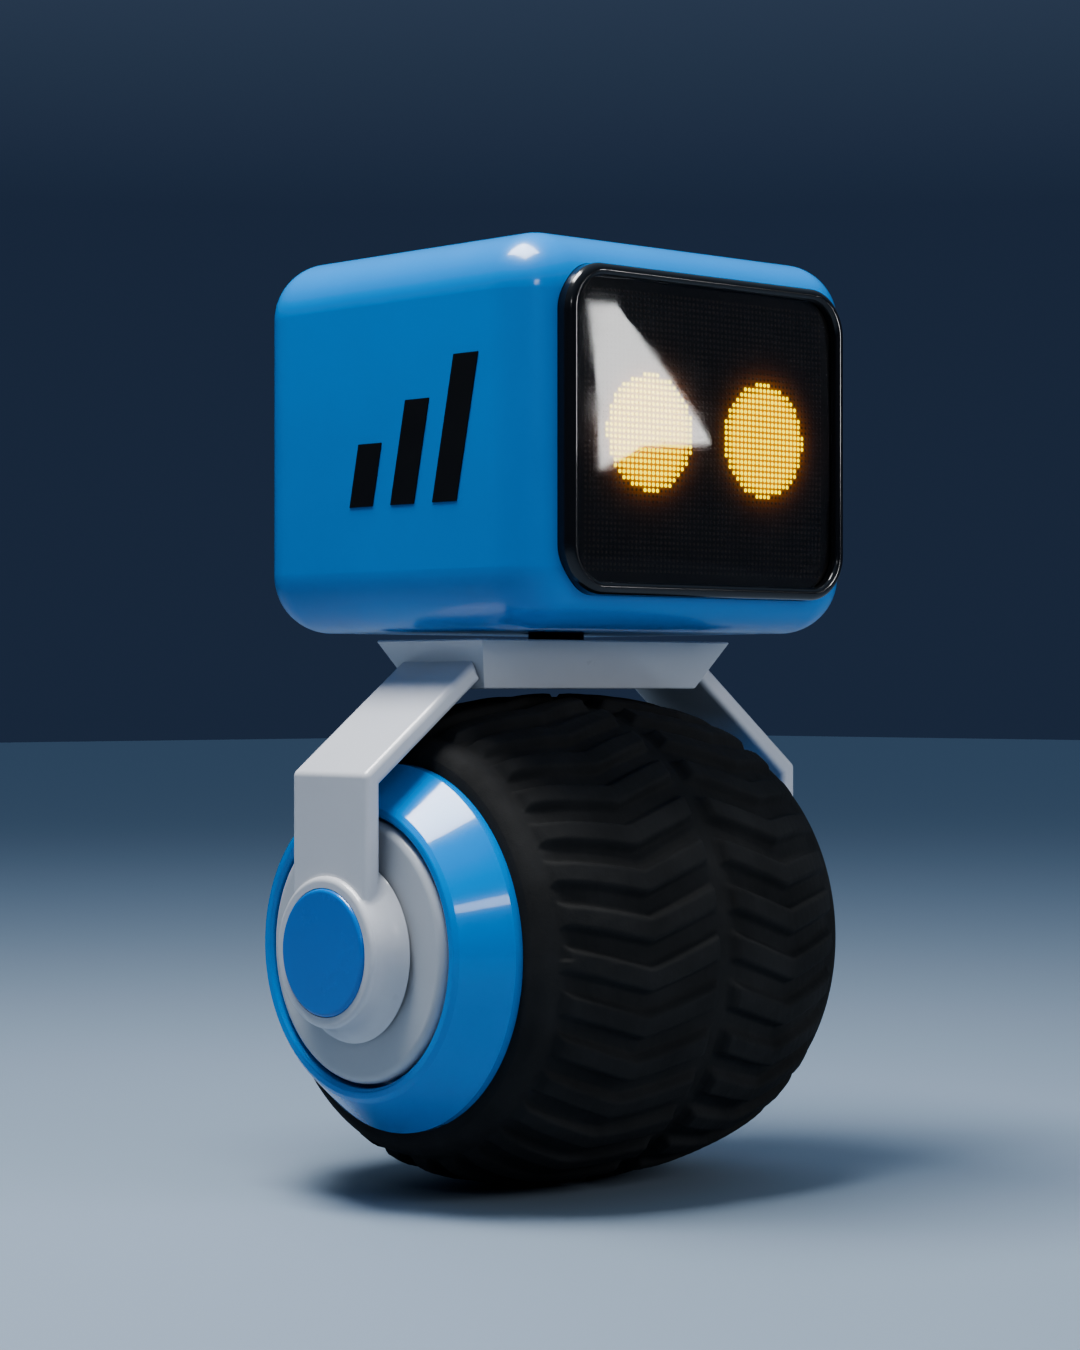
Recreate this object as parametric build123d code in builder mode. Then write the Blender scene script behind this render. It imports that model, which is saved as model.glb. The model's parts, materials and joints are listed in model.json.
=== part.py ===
"""Educational coding robot: a cube head with a pixel face, on a fork that straddles one wide barrel wheel.

Frame: +Z up, the screen faces -Y, the wheel's axle lies along X, and the origin is on the ground under
the middle of the wheel. Sizes are millimetres.
"""

import math
import os

from build123d import *

os.makedirs("parts", exist_ok=True)

# ---------------------------------------------------------------- driving dimensions
wheel_radius = 64.0  # over the tread lugs
axle_z = wheel_radius

head_width = 117.8
head_depth = 109.0
head_height = 97.1
head_round = 15.0
head_wall = 2.4
head_gap = 2.0  # between the neck's top and the head's underside

neck_top_z = 141.6
neck_bottom_z = 129.1
neck_top_half = (44.4, 20.6)
neck_taper = 6.7  # how far each side leans in from top to bottom
neck_wall = 2.8

arm_outer_x = 77.0
arm_thickness = 5.0
arm_half_width = 14.5
arm_bend_z = 108.2
arm_angle = 38.0  # of the upper leg, above the horizontal

boss_back_radius = 22.9
boss_waist_radius = 19.6
boss_junction_round = 2.5  # where the strap's sides run into the boss
boss_ring_radius = 18.9
boss_front_x = 78.5
cap_radius = 15.9
cap_front_x = 79.2

axle_radius = 5.0
axle_end_radius = 4.0
axle_bore_radius = 3.0

rim_edge_x = 56.4  # where the tyre meets the painted cone
rim_edge_radius = 46.3
lip_x = 68.1
lip_radius = 37.5
disc_radius = 33.2
disc_front_x = 68.4
disc_thickness = 3.2
drum_radius = 44.5
drum_wall = 2.5

tread_crown = wheel_radius
tyre_crown = 61.9  # the carcass between the lugs
lug_count = 32
lug_width = 5.3  # degrees round the tyre
lug_inner_x = 4.0
lug_apex_x = 25.0
lug_outer_x = 47.5
lug_inner_rise = 6.5  # how many degrees the inner end of a lug sits ahead of its apex, round the tyre
lug_outer_rise = 5.3

bezel_width = 98.7
bezel_height = 80.5
bezel_round = 12.0
bezel_front_y = -57.9
window_width = 92.0
window_height = 74.4
window_round = 9.0
glass_edge_y = -56.2
glass_dome = 1.3
pixel_plane_y = -55.6

pixel_pitch = 1.42
eye_columns = 21
eye_offset_columns = 4.5  # from the face's middle to an eye's first column
mark_thickness = 0.25

pan_module = 1.0
pan_gear_teeth = 32
servo_pinion_teeth = 16
drive_module = 1.0
ring_teeth = 72
drive_pinion_teeth = 16
gear_backlash = 0.14

screw_radius = 1.0
screw_hole_radius = 1.05
screw_head_radius = 1.85
screw_head_height = 1.1
counterbore_radius = 1.95
counterbore_depth = 1.2
clearance = 0.1
sliding_play = 0.02  # on a shaft's radius

# ---------------------------------------------------------------- derived places
head_bottom_z = neck_top_z + head_gap
head_mid_z = head_bottom_z + head_height / 2
head_top_z = head_bottom_z + head_height
face_y = -head_depth / 2
back_y = head_depth / 2
inner_back_y = back_y - head_wall
screen_z = head_mid_z

arm_inner_x = arm_outer_x - arm_thickness
neck_bottom_half = (neck_top_half[0] - neck_taper, neck_top_half[1] - neck_taper)

wheel_axis = Axis((0, 0, axle_z), (1, 0, 0))
wheel_section = Plane(origin=(0, 0, axle_z), x_dir=(1, 0, 0), z_dir=(0, -1, 0))


def across_wheel(x):
    """A plane square to the axle at x: local x runs along Y and local y along Z, from the axle's line."""
    return Plane(origin=(x, 0, axle_z), x_dir=(0, 1, 0), z_dir=(1, 0, 0))


def facing_front(y):
    """A plane parallel to the screen at y, centred on it: local x is X, local y is Z, and it looks to -Y."""
    return Plane(origin=(0, y, screen_z), x_dir=(1, 0, 0), z_dir=(0, -1, 0))


def facing_back(y):
    """The same, looking to +Y, so that its local x runs along -X."""
    return Plane(origin=(0, y, screen_z), x_dir=(-1, 0, 0), z_dir=(0, 1, 0))


def save(piece, node):
    """Labels a finished piece and writes it as its node's STEP file."""
    piece.part.label = node
    export_step(piece.part, f"parts/{node}.step")


def neck_half(z):
    """Half width (X) and half depth (Y) of the neck block's outside at height z."""
    share = (z - neck_bottom_z) / (neck_top_z - neck_bottom_z)
    return tuple(half + neck_taper * share for half in neck_bottom_half)


# ---------------------------------------------------------------- shared shapes
pressure_angle = math.radians(20)


def tooth_half_angle(module, teeth, thickness, radius):
    """Half the angle that an involute tooth takes up at a radius, from its thickness at the pitch circle."""
    pitch_radius = module * teeth / 2
    base_radius = pitch_radius * math.cos(pressure_angle)
    here = math.acos(min(1.0, base_radius / radius))
    spread = math.tan(pressure_angle) - pressure_angle - (math.tan(here) - here)
    return thickness / (2 * pitch_radius) + spread


def gear_outline(module, teeth, thickness, root_radius, tip_radius, turn=0.0):
    """Corner points of a gear with involute flanks; a tooth points along local x, plus turn in degrees."""
    base_radius = module * teeth / 2 * math.cos(pressure_angle)
    flank_start = max(root_radius, base_radius)
    flank_steps = 4
    radii = [flank_start + (tip_radius - flank_start) * k / flank_steps for k in range(flank_steps + 1)]
    flank = [(r, tooth_half_angle(module, teeth, thickness, r)) for r in radii]
    if root_radius < base_radius:
        flank.insert(0, (root_radius, flank[0][1]))
    points = []
    for tooth in range(teeth):
        middle = 2 * math.pi * tooth / teeth + math.radians(turn)
        rising = [(r, middle - half) for r, half in flank]
        falling = [(r, middle + half) for r, half in reversed(flank)]
        points += [(r * math.cos(a), r * math.sin(a)) for r, a in rising + falling]
    return points


def draw_gear(*outline):
    """A closed gear face in the current sketch."""
    Polygon(*gear_outline(*outline), align=None)


def bearing_rings(bore_radius, outer_radius):
    """Radii of a small ball bearing: inner ring's outside, outer ring's inside, ball circle and ball."""
    middle = (bore_radius + outer_radius) / 2
    ball = (outer_radius - bore_radius) * 0.2
    return middle - ball - 0.05, middle + ball + 0.05, middle, ball


def corners(half_width, half_depth):
    """The four corners of a rectangle about the origin, for Locations."""
    return [(sx * half_width, sy * half_depth) for sx in (-1, 1) for sy in (-1, 1)]


# ================================================================ FORK
# ---------------------------------------------------------------- neck block and lid
neck_floor = 2.5
neck_lid_thickness = 2.0
neck_lip = 2.5  # of the block round its lid
neck_floor_z = neck_bottom_z + neck_floor
neck_lid_z = neck_top_z - neck_lid_thickness
neck_lid_half = (neck_top_half[0] - neck_lip, neck_top_half[1] - neck_lip)
tab_half_width = 11.0
tab_thickness = 2.8
tab_top_z = neck_floor_z + tab_thickness
tab_inner_x = 24.0
tab_root_x = 41.0
tab_screws = corners(29.0, 6.0)
lid_screws = corners(36.0, 14.5)
lid_post_radius = 2.6
lid_thread_depth = 4.0
lid_screw_length = 5.0
spindle_flange_radius = 11.0
spindle_screw_circle = 8.8

with BuildPart() as neck_cavity:
    for height in (neck_floor_z, neck_lid_z):
        with BuildSketch(Plane.XY.offset(height)):
            Rectangle(*(2 * (half - neck_wall) for half in neck_half(height)))
    loft()
    with BuildSketch(Plane.XY.offset(neck_floor_z)):
        with Locations(*lid_screws):
            Circle(lid_post_radius)
    extrude(amount=neck_lid_z - neck_floor_z, mode=Mode.SUBTRACT)

with BuildPart() as neck_block:
    for height in (neck_bottom_z, neck_top_z):
        with BuildSketch(Plane.XY.offset(height)):
            Rectangle(*(2 * half for half in neck_half(height)))
    loft()
    fillet(neck_block.edges().filter_by(Axis.Z, reverse=True).group_by(Axis.Z)[0], radius=0.8)
    chamfer(neck_block.edges().group_by(Axis.Z)[-1], length=0.4)
    add(neck_cavity.part, mode=Mode.SUBTRACT)
    with BuildSketch(Plane.XY.offset(neck_lid_z)):
        Rectangle(*(2 * half for half in neck_lid_half))
    extrude(amount=neck_top_z - neck_lid_z, mode=Mode.SUBTRACT)
    with BuildSketch(Plane.XY.offset(neck_lid_z)):
        with Locations(*lid_screws):
            Circle(screw_radius)
    extrude(amount=-lid_thread_depth, mode=Mode.SUBTRACT)
    with BuildSketch(Plane.XY.offset(neck_floor_z)):
        Rectangle(2 * neck_top_half[0], 2 * tab_half_width)
    extrude(amount=tab_top_z - neck_floor_z, mode=Mode.SUBTRACT)
    with BuildSketch(Plane.XY.offset(neck_bottom_z)):
        with Locations(*tab_screws):
            Circle(screw_hole_radius)
    extrude(amount=neck_floor_z - neck_bottom_z, mode=Mode.SUBTRACT)
    with BuildSketch(Plane.XY.offset(neck_bottom_z)):
        with Locations(*tab_screws):
            Circle(counterbore_radius)
    extrude(amount=counterbore_depth, mode=Mode.SUBTRACT)

spindle_radius = 6.0
spindle_bore_radius = 3.5
spindle_flange_thickness = 2.0
spindle_flange_z = neck_lid_z - spindle_flange_thickness
spindle_screw_spots = [
    (spindle_screw_circle * math.cos(a), spindle_screw_circle * math.sin(a))
    for a in (math.radians(30 + 120 * k) for k in range(3))
]

with BuildPart() as neck_lid:
    with BuildSketch(Plane.XY.offset(neck_lid_z)):
        Rectangle(*(2 * (half - clearance) for half in neck_lid_half))
        Circle(spindle_radius + sliding_play, mode=Mode.SUBTRACT)
        with Locations(*lid_screws, *spindle_screw_spots):
            Circle(screw_hole_radius, mode=Mode.SUBTRACT)
    extrude(amount=neck_top_z - neck_lid_z)
    with BuildSketch(Plane.XY.offset(neck_top_z)):
        with Locations(*lid_screws, *spindle_screw_spots):
            Circle(counterbore_radius)
    extrude(amount=-counterbore_depth, mode=Mode.SUBTRACT)
save(neck_lid, "neck_lid")

# ---------------------------------------------------------------- pan spindle, its bearing and its gear
pan_bearing_z = head_bottom_z + 1.0
pan_bearing_width = 5.0
pan_bearing_outer = 10.5
pan_hub_radius = 7.3
pan_ball_count = 14
pan_gear_z = pan_bearing_z + pan_bearing_width + 1.8
pan_gear_width = 5.0
pan_clip_z = pan_gear_z + pan_gear_width
pan_web_holes = 6
pan_web_circle = 10.5
pan_web_hole_radius = 2.2
clip_thickness = 0.75
clip_groove_width = 0.8
clip_groove_depth = 0.6
clip_radius = 8.2
clip_mouth = 7.0
spindle_top_z = pan_clip_z + 2.0
pan_inner_ring, pan_outer_ring, pan_ball_circle, pan_ball = bearing_rings(spindle_radius, pan_bearing_outer)

with BuildPart() as pan_spindle:
    with BuildSketch(Plane.XY.offset(spindle_flange_z)):
        Circle(spindle_flange_radius)
        with Locations(*spindle_screw_spots):
            Circle(screw_hole_radius, mode=Mode.SUBTRACT)
    extrude(amount=neck_lid_z - spindle_flange_z)
    with BuildSketch(Plane.XY.offset(spindle_flange_z)):
        Circle(spindle_radius)
    extrude(amount=spindle_top_z - spindle_flange_z)
    with BuildSketch(Plane.XY.offset(pan_clip_z)):
        Circle(spindle_radius)
        Circle(spindle_radius - clip_groove_depth, mode=Mode.SUBTRACT)
    extrude(amount=clip_groove_width, mode=Mode.SUBTRACT)
    with BuildSketch(Plane.XY.offset(spindle_flange_z)):
        Circle(spindle_bore_radius)
    extrude(amount=spindle_top_z - spindle_flange_z, mode=Mode.SUBTRACT)
    chamfer(pan_spindle.edges().group_by(Axis.Z)[-1].sort_by(SortBy.RADIUS)[-1], length=0.5)
save(pan_spindle, "pan_spindle")

with BuildPart() as pan_spacer:
    with BuildSketch(Plane.XY.offset(neck_top_z)):
        Circle(pan_inner_ring)
        Circle(spindle_radius, mode=Mode.SUBTRACT)
    extrude(amount=pan_bearing_z - neck_top_z)
save(pan_spacer, "pan_spacer")

with BuildPart() as pan_bearing_inner_ring:
    with BuildSketch(Plane.XY.offset(pan_bearing_z)):
        Circle(pan_inner_ring)
        Circle(spindle_radius, mode=Mode.SUBTRACT)
    extrude(amount=pan_bearing_width)
save(pan_bearing_inner_ring, "pan_bearing_inner_ring")

with BuildPart() as pan_bearing_balls:
    with Locations((0, 0, pan_bearing_z + pan_bearing_width / 2)):
        with PolarLocations(pan_ball_circle, pan_ball_count):
            Sphere(pan_ball)
save(pan_bearing_balls, "pan_bearing_balls")

with BuildPart() as pan_gear:
    with BuildSketch(Plane.XY.offset(pan_gear_z)):
        draw_gear(
            pan_module,
            pan_gear_teeth,
            math.pi * pan_module / 2 - gear_backlash,
            pan_module * (pan_gear_teeth / 2 - 1.25),
            pan_module * (pan_gear_teeth / 2 + 0.95),
        )
        Circle(spindle_radius, mode=Mode.SUBTRACT)
    extrude(amount=pan_gear_width)
    with BuildSketch(Plane.XY.offset(pan_bearing_z + pan_bearing_width)):
        Circle(pan_hub_radius)
        Circle(spindle_radius, mode=Mode.SUBTRACT)
    extrude(amount=pan_gear_z - pan_bearing_z - pan_bearing_width)
    with BuildSketch(Plane.XY.offset(pan_gear_z)):
        with PolarLocations(pan_web_circle, pan_web_holes):
            Circle(pan_web_hole_radius)
    extrude(amount=pan_gear_width, mode=Mode.SUBTRACT)
save(pan_gear, "pan_gear")

with BuildPart() as pan_clip:
    with BuildSketch(Plane.XY.offset(pan_clip_z)):
        Circle(clip_radius)
        Circle(spindle_radius - clip_groove_depth + 0.05, mode=Mode.SUBTRACT)
        with Locations((0, -clip_radius)):
            Rectangle(clip_mouth, 2 * clip_radius, mode=Mode.SUBTRACT)
    extrude(amount=clip_thickness)
save(pan_clip, "pan_clip")

# ---------------------------------------------------------------- fork arms
arm_lean = math.radians(arm_angle)
neck_lean = neck_taper / (neck_top_z - neck_bottom_z)


def neck_meets(x, z):
    """Where a line from (x, z) at the arm's angle, towards the middle, reaches the neck's sloping end."""
    gap = x - neck_bottom_half[0] - neck_lean * (z - neck_bottom_z)
    run = gap / (math.cos(arm_lean) + neck_lean * math.sin(arm_lean))
    return x - run * math.cos(arm_lean), z + run * math.sin(arm_lean)


inner_bend_z = arm_bend_z - arm_thickness * math.tan((math.pi / 2 - arm_lean) / 2)
arm_top_outer = neck_meets(arm_outer_x, arm_bend_z)
arm_top_inner = neck_meets(arm_inner_x, inner_bend_z)
cap_thickness = 1.8
cap_edge_round = 1.1
cap_seat_x = cap_front_x - cap_thickness
nut_pocket_depth = 2.0
nut_seat_x = cap_seat_x - nut_pocket_depth
nut_pocket_radius = 9.0
nut_radius = 7.4
nut_thickness = 1.7
arm_bend_round = 2.0
arm_edge_round = 1.6
boss_back_x = 69.2
cable_radius = 1.2
channel_radius = 1.3
cable_depth = 1.9  # of the cable's middle behind the arm's inner face


def strap_side(side):
    """The arm's side view, from the axle's height up to the neck, for side -1 (left) or +1 (right)."""
    outline = [
        (arm_outer_x, axle_z),
        (arm_outer_x, arm_bend_z),
        arm_top_outer,
        arm_top_inner,
        (arm_inner_x, inner_bend_z),
        (arm_inner_x, axle_z),
    ]
    return [(side * x, z) for x, z in outline]


def boss_face(side):
    """Half section of the round boss, as x and radius about the axle: a bell with a rounded ring in front."""
    ring_round = 1.4
    bell_start = (side * (boss_back_x + 0.8), boss_back_radius)
    bell_middle = (side * (boss_back_x + 3.4), boss_waist_radius + 0.9)
    bell_end = (side * (boss_front_x - 2.8), boss_waist_radius - 0.35)
    ring_side = (side * (boss_front_x - ring_round), boss_ring_radius)
    ring_arc = (side * (boss_front_x - 0.3 * ring_round), boss_ring_radius - 0.3 * ring_round)
    ring_front = (side * boss_front_x, boss_ring_radius - ring_round)
    with BuildSketch() as face:
        with BuildLine():
            Polyline(
                (side * nut_seat_x, axle_end_radius),
                (side * boss_back_x, axle_end_radius),
                (side * boss_back_x, boss_back_radius - 0.8),
                bell_start,
            )
            ThreePointArc(bell_start, bell_middle, bell_end)
            Line(bell_end, ring_side)
            ThreePointArc(ring_side, ring_arc, ring_front)
            Polyline(
                ring_front,
                (side * boss_front_x, cap_radius + clearance),
                (side * cap_seat_x, cap_radius + clearance),
                (side * cap_seat_x, nut_pocket_radius),
                (side * nut_seat_x, nut_pocket_radius),
                (side * nut_seat_x, axle_end_radius),
            )
        make_face()
    return face


def fork_arm(side):
    """One arm: a flat strap with its bend, the tab that enters the neck, and the boss round the axle."""
    with BuildPart() as arm:
        with BuildSketch(Plane.XZ):
            with BuildLine():
                Polyline(*strap_side(side), close=True)
            make_face()
        extrude(amount=arm_half_width, both=True)
        outer = arm.edges().filter_by(Axis.Y).filter_by_position(Axis.Z, arm_bend_z - 0.1, arm_bend_z + 0.1)
        fillet(outer, radius=arm_bend_round)
        long_edges = arm.edges().filter_by(Axis.Y, reverse=True).filter_by_position(Axis.Z, axle_z + 1, 134.0)
        fillet(long_edges, radius=arm_edge_round)
        with BuildSketch(Plane.XY.offset(neck_floor_z)):
            with Locations((side * (tab_inner_x + tab_root_x) / 2, 0)):
                Rectangle(tab_root_x - tab_inner_x, 2 * tab_half_width)
        extrude(amount=tab_top_z - neck_floor_z)
        with BuildSketch(Plane.XY.offset(neck_floor_z)):
            with Locations(*[spot for spot in tab_screws if spot[0] * side > 0]):
                Circle(screw_hole_radius)
        extrude(amount=tab_top_z - neck_floor_z, mode=Mode.SUBTRACT)
        with BuildSketch(wheel_section):
            add(boss_face(side).sketch)
        revolve(axis=wheel_axis)
        strap_root = [
            edge
            for edge in arm.edges()
            if axle_z + 8 < edge.center().Z < axle_z + 26 and 9 < abs(edge.center().Y) < arm_half_width + 1
        ]
        fillet(strap_root, radius=boss_junction_round)
        for near_x, far_x, radius in (
            (nut_seat_x, cap_seat_x, nut_pocket_radius),
            (cap_seat_x, arm_outer_x + 2, cap_radius + clearance),
            (boss_back_x, nut_seat_x, axle_end_radius + sliding_play),
        ):
            with BuildSketch(across_wheel(side * near_x)):
                Circle(radius)
            extrude(amount=side * (far_x - near_x), mode=Mode.SUBTRACT)
    return arm


# The cable's route: from the board in the wheel, along the axle, up inside the left arm, through the neck.
board_x = -50.0
cable_x = -(arm_inner_x + cable_depth)
cable_bend_z = inner_bend_z + cable_depth * math.tan((math.pi / 2 - arm_lean) / 2)
cable_bend_radius = 2.2
cable_neck_z = spindle_flange_z - cable_radius - 1.0
cable_neck_x = cable_x + (cable_neck_z - cable_bend_z) / math.tan(arm_lean)
cable_start_height = 12.0  # above the axle's line
cable_route = [
    (board_x, axle_z + cable_start_height),
    (board_x, axle_z),
    (cable_x, axle_z),
    (cable_x, cable_bend_z),
    (cable_neck_x, cable_neck_z),
    (0, cable_neck_z),
    (0, spindle_top_z + 1.0),
]


def cable_run(radius):
    """A round cable, or the channel for one, along the route."""
    with BuildPart() as run:
        with BuildLine(Plane.XZ) as path:
            FilletPolyline(*cable_route, radius=cable_bend_radius)
        start = path.line
        with BuildSketch(Plane(origin=start @ 0, z_dir=start % 0)):
            Circle(radius)
        sweep(path=start)
    return run


cable_channel = cable_run(channel_radius)

with neck_block:
    add(cable_channel.part, mode=Mode.SUBTRACT)
save(neck_block, "neck_block")

fork_arm_left = fork_arm(-1)
with fork_arm_left:
    add(cable_channel.part, mode=Mode.SUBTRACT)
save(fork_arm_left, "fork_arm_left")
save(fork_arm(1), "fork_arm_right")
save(cable_run(cable_radius), "fork_cable")

with BuildPart() as arm_screws:
    with BuildSketch(Plane.XY.offset(neck_bottom_z)):
        with Locations(*tab_screws):
            Circle(screw_head_radius)
    extrude(amount=screw_head_height)
    with BuildSketch(Plane.XY.offset(neck_bottom_z)):
        with Locations(*tab_screws):
            Circle(screw_radius)
    extrude(amount=tab_top_z - neck_bottom_z)
save(arm_screws, "arm_screws")

slip_ring_radius = 5.5
slip_ring_height = 8.0
slip_ring_collar = 1.0
slip_ring_outlet = (2.2, 2.5)  # radius and height of the stub that the head's wires leave by

with BuildPart() as slip_ring:
    with BuildSketch(Plane.XY.offset(spindle_top_z + slip_ring_collar)):
        Circle(slip_ring_radius)
    extrude(amount=slip_ring_height - slip_ring_collar)
    with BuildSketch(Plane.XY.offset(spindle_top_z)):
        Circle(slip_ring_radius)
        Circle(spindle_bore_radius, mode=Mode.SUBTRACT)
    extrude(amount=slip_ring_collar)
    with BuildSketch(Plane.XY.offset(spindle_top_z + slip_ring_height)):
        Circle(slip_ring_outlet[0])
    extrude(amount=slip_ring_outlet[1])
save(slip_ring, "slip_ring")

# ---------------------------------------------------------------- axle, nuts and caps
carrier_left_x = -44.0
carrier_right_x = 28.0
collar_radius = 9.5
pin_x = -10.0
pin_radius = 1.5
axle_half_length = cap_seat_x - 0.3

with BuildPart() as axle:
    with BuildSketch(across_wheel(-boss_back_x)):
        Circle(axle_radius)
    extrude(amount=2 * boss_back_x)
    with BuildSketch(across_wheel(-axle_half_length)):
        Circle(axle_end_radius)
    extrude(amount=2 * axle_half_length)
    with BuildSketch(across_wheel(-axle_half_length)):
        Circle(axle_bore_radius)
    extrude(amount=2 * axle_half_length, mode=Mode.SUBTRACT)
    with BuildSketch(Plane.XY.offset(axle_z)):
        with Locations((board_x, 0), (cable_x, 0)):
            Circle(channel_radius)
    extrude(amount=axle_radius, mode=Mode.SUBTRACT)
    with BuildSketch(Plane.XY.offset(axle_z)):
        with Locations((pin_x, 0)):
            Circle(pin_radius)
    extrude(amount=axle_radius, both=True, mode=Mode.SUBTRACT)
save(axle, "axle")

with BuildPart() as axle_nuts:
    for side in (-1, 1):
        with BuildSketch(across_wheel(side * nut_seat_x)):
            RegularPolygon(nut_radius, 6)
            Circle(axle_end_radius, mode=Mode.SUBTRACT)
        extrude(amount=side * nut_thickness)
save(axle_nuts, "axle_nuts")

for side, node in ((-1, "axle_cap_left"), (1, "axle_cap_right")):
    with BuildPart() as axle_cap:
        with BuildSketch(across_wheel(side * cap_seat_x)):
            Circle(cap_radius)
        extrude(amount=side * (cap_front_x - cap_seat_x))
        front_edge = axle_cap.edges().sort_by(Axis.X)[-1 if side > 0 else 0]
        fillet(front_edge, radius=cap_edge_round)
    save(axle_cap, node)

with BuildPart() as neck_lid_screws:
    for radius, depth in ((screw_head_radius, screw_head_height), (screw_radius, lid_screw_length)):
        with BuildSketch(Plane.XY.offset(neck_top_z)):
            with Locations(*lid_screws, *spindle_screw_spots):
                Circle(radius)
        extrude(amount=-depth)
save(neck_lid_screws, "neck_lid_screws")

# ---------------------------------------------------------------- what stands still inside the wheel
motor_y, motor_z = 0.0, 28.0
motor_radius = 10.0
plate_thickness = 3.0
motor_face_x = carrier_right_x - plate_thickness
motor_edge_round = 0.6
motor_boss = (3.5, 2.5)  # radius and height of the ring round the shaft
motor_rear_boss = (3.0, 1.6)
motor_boss_hole_radius = 4.0
motor_screw_depth = 3.0
motor_length = 40.0
shaft_radius = 2.0
cell_radius = 9.1
cell_length = 65.0
cell_spots = [(-10.5, -22.0), (10.5, -22.0)]
cell_edge_round = 0.7
cell_button = (3.2, 0.7)  # radius and height of the positive end
cell_play = 0.3
plate_radius = 34.0
window_circle = 22.5
window_radius = 8.5
window_turns = (35, 145)
gear_x = carrier_right_x + 2.5
gear_width = 6.0
end_screw_spots = [(0, 7.3), (6.3, -3.65), (-6.3, -3.65)]
end_thread_depth = 6.0
end_plate_x = carrier_left_x + plate_thickness
motor_screw_spots = [(motor_y - 6.5, motor_z), (motor_y + 6.5, motor_z)]


def draw_carrier_plate():
    """The carrier's round plate with its windows, as a face about the axle."""
    Circle(plate_radius)
    Circle(axle_radius + sliding_play, mode=Mode.SUBTRACT)
    for turn in window_turns:
        with PolarLocations(window_circle, 1, start_angle=turn):
            Circle(window_radius, mode=Mode.SUBTRACT)
    with Locations((0, 4 - plate_radius)):
        SlotOverall(14, 4, mode=Mode.SUBTRACT)


with BuildPart() as drive_carrier:
    with BuildSketch(across_wheel(motor_face_x)):
        draw_carrier_plate()
        with Locations((motor_y, motor_z)):
            Circle(motor_boss_hole_radius, mode=Mode.SUBTRACT)
        with Locations(*motor_screw_spots):
            Circle(screw_hole_radius, mode=Mode.SUBTRACT)
    extrude(amount=carrier_right_x - motor_face_x)
    with BuildSketch(across_wheel(end_plate_x)):
        Circle(collar_radius)
        Circle(axle_radius + sliding_play, mode=Mode.SUBTRACT)
    extrude(amount=motor_face_x - end_plate_x)
    with BuildSketch(across_wheel(end_plate_x)):
        with Locations(*end_screw_spots):
            Circle(screw_radius)
    extrude(amount=end_thread_depth, mode=Mode.SUBTRACT)
    with BuildSketch(Plane.XY.offset(axle_z)):
        with Locations((pin_x, 0)):
            Circle(pin_radius)
    extrude(amount=collar_radius, both=True, mode=Mode.SUBTRACT)
save(drive_carrier, "drive_carrier")

with BuildPart() as carrier_end_plate:
    with BuildSketch(across_wheel(carrier_left_x)):
        draw_carrier_plate()
        with Locations(*end_screw_spots):
            Circle(screw_hole_radius, mode=Mode.SUBTRACT)
    extrude(amount=end_plate_x - carrier_left_x)
save(carrier_end_plate, "carrier_end_plate")

with BuildPart() as carrier_screws:
    for radius, amount in ((screw_head_radius, -screw_head_height), (screw_radius, plate_thickness + 5.0)):
        with BuildSketch(across_wheel(carrier_left_x)):
            with Locations(*end_screw_spots):
                Circle(radius)
        extrude(amount=amount)
    for radius, amount in ((screw_head_radius, screw_head_height), (screw_radius, -plate_thickness - 1.5)):
        with BuildSketch(across_wheel(carrier_right_x)):
            with Locations(*motor_screw_spots):
                Circle(radius)
        extrude(amount=amount)
save(carrier_screws, "carrier_screws")

with BuildPart() as carrier_pin:
    with BuildSketch(Plane.XY.offset(axle_z + collar_radius)):
        with Locations((pin_x, 0)):
            Circle(pin_radius - sliding_play)
    extrude(amount=-2 * collar_radius)
save(carrier_pin, "carrier_pin")

with BuildPart() as drive_motor:
    with BuildSketch(across_wheel(motor_face_x)):
        with Locations((motor_y, motor_z)):
            Circle(motor_radius)
    extrude(amount=-motor_length)
    fillet(drive_motor.edges().filter_by(GeomType.CIRCLE), radius=motor_edge_round)
    for start, radius, length in (
        (motor_face_x, *motor_boss),
        (motor_face_x, shaft_radius, gear_x + gear_width + 1.0 - motor_face_x),
        (motor_face_x - motor_length, motor_rear_boss[0], -motor_rear_boss[1]),
    ):
        with BuildSketch(across_wheel(start)):
            with Locations((motor_y, motor_z)):
                Circle(radius)
        extrude(amount=length)
    with BuildSketch(across_wheel(motor_face_x)):
        with Locations(*motor_screw_spots):
            Circle(screw_radius)
    extrude(amount=-motor_screw_depth, mode=Mode.SUBTRACT)
save(drive_motor, "drive_motor")

with BuildPart() as battery_cells:
    with BuildSketch(across_wheel(end_plate_x + cell_play)):
        with Locations(*cell_spots):
            Circle(cell_radius)
    extrude(amount=cell_length - cell_button[1])
    fillet(battery_cells.edges(), radius=cell_edge_round)
    with BuildSketch(across_wheel(end_plate_x + cell_play + cell_length - cell_button[1])):
        with Locations(*cell_spots):
            Circle(cell_button[0])
    extrude(amount=cell_button[1])
save(battery_cells, "battery_cells")

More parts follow.
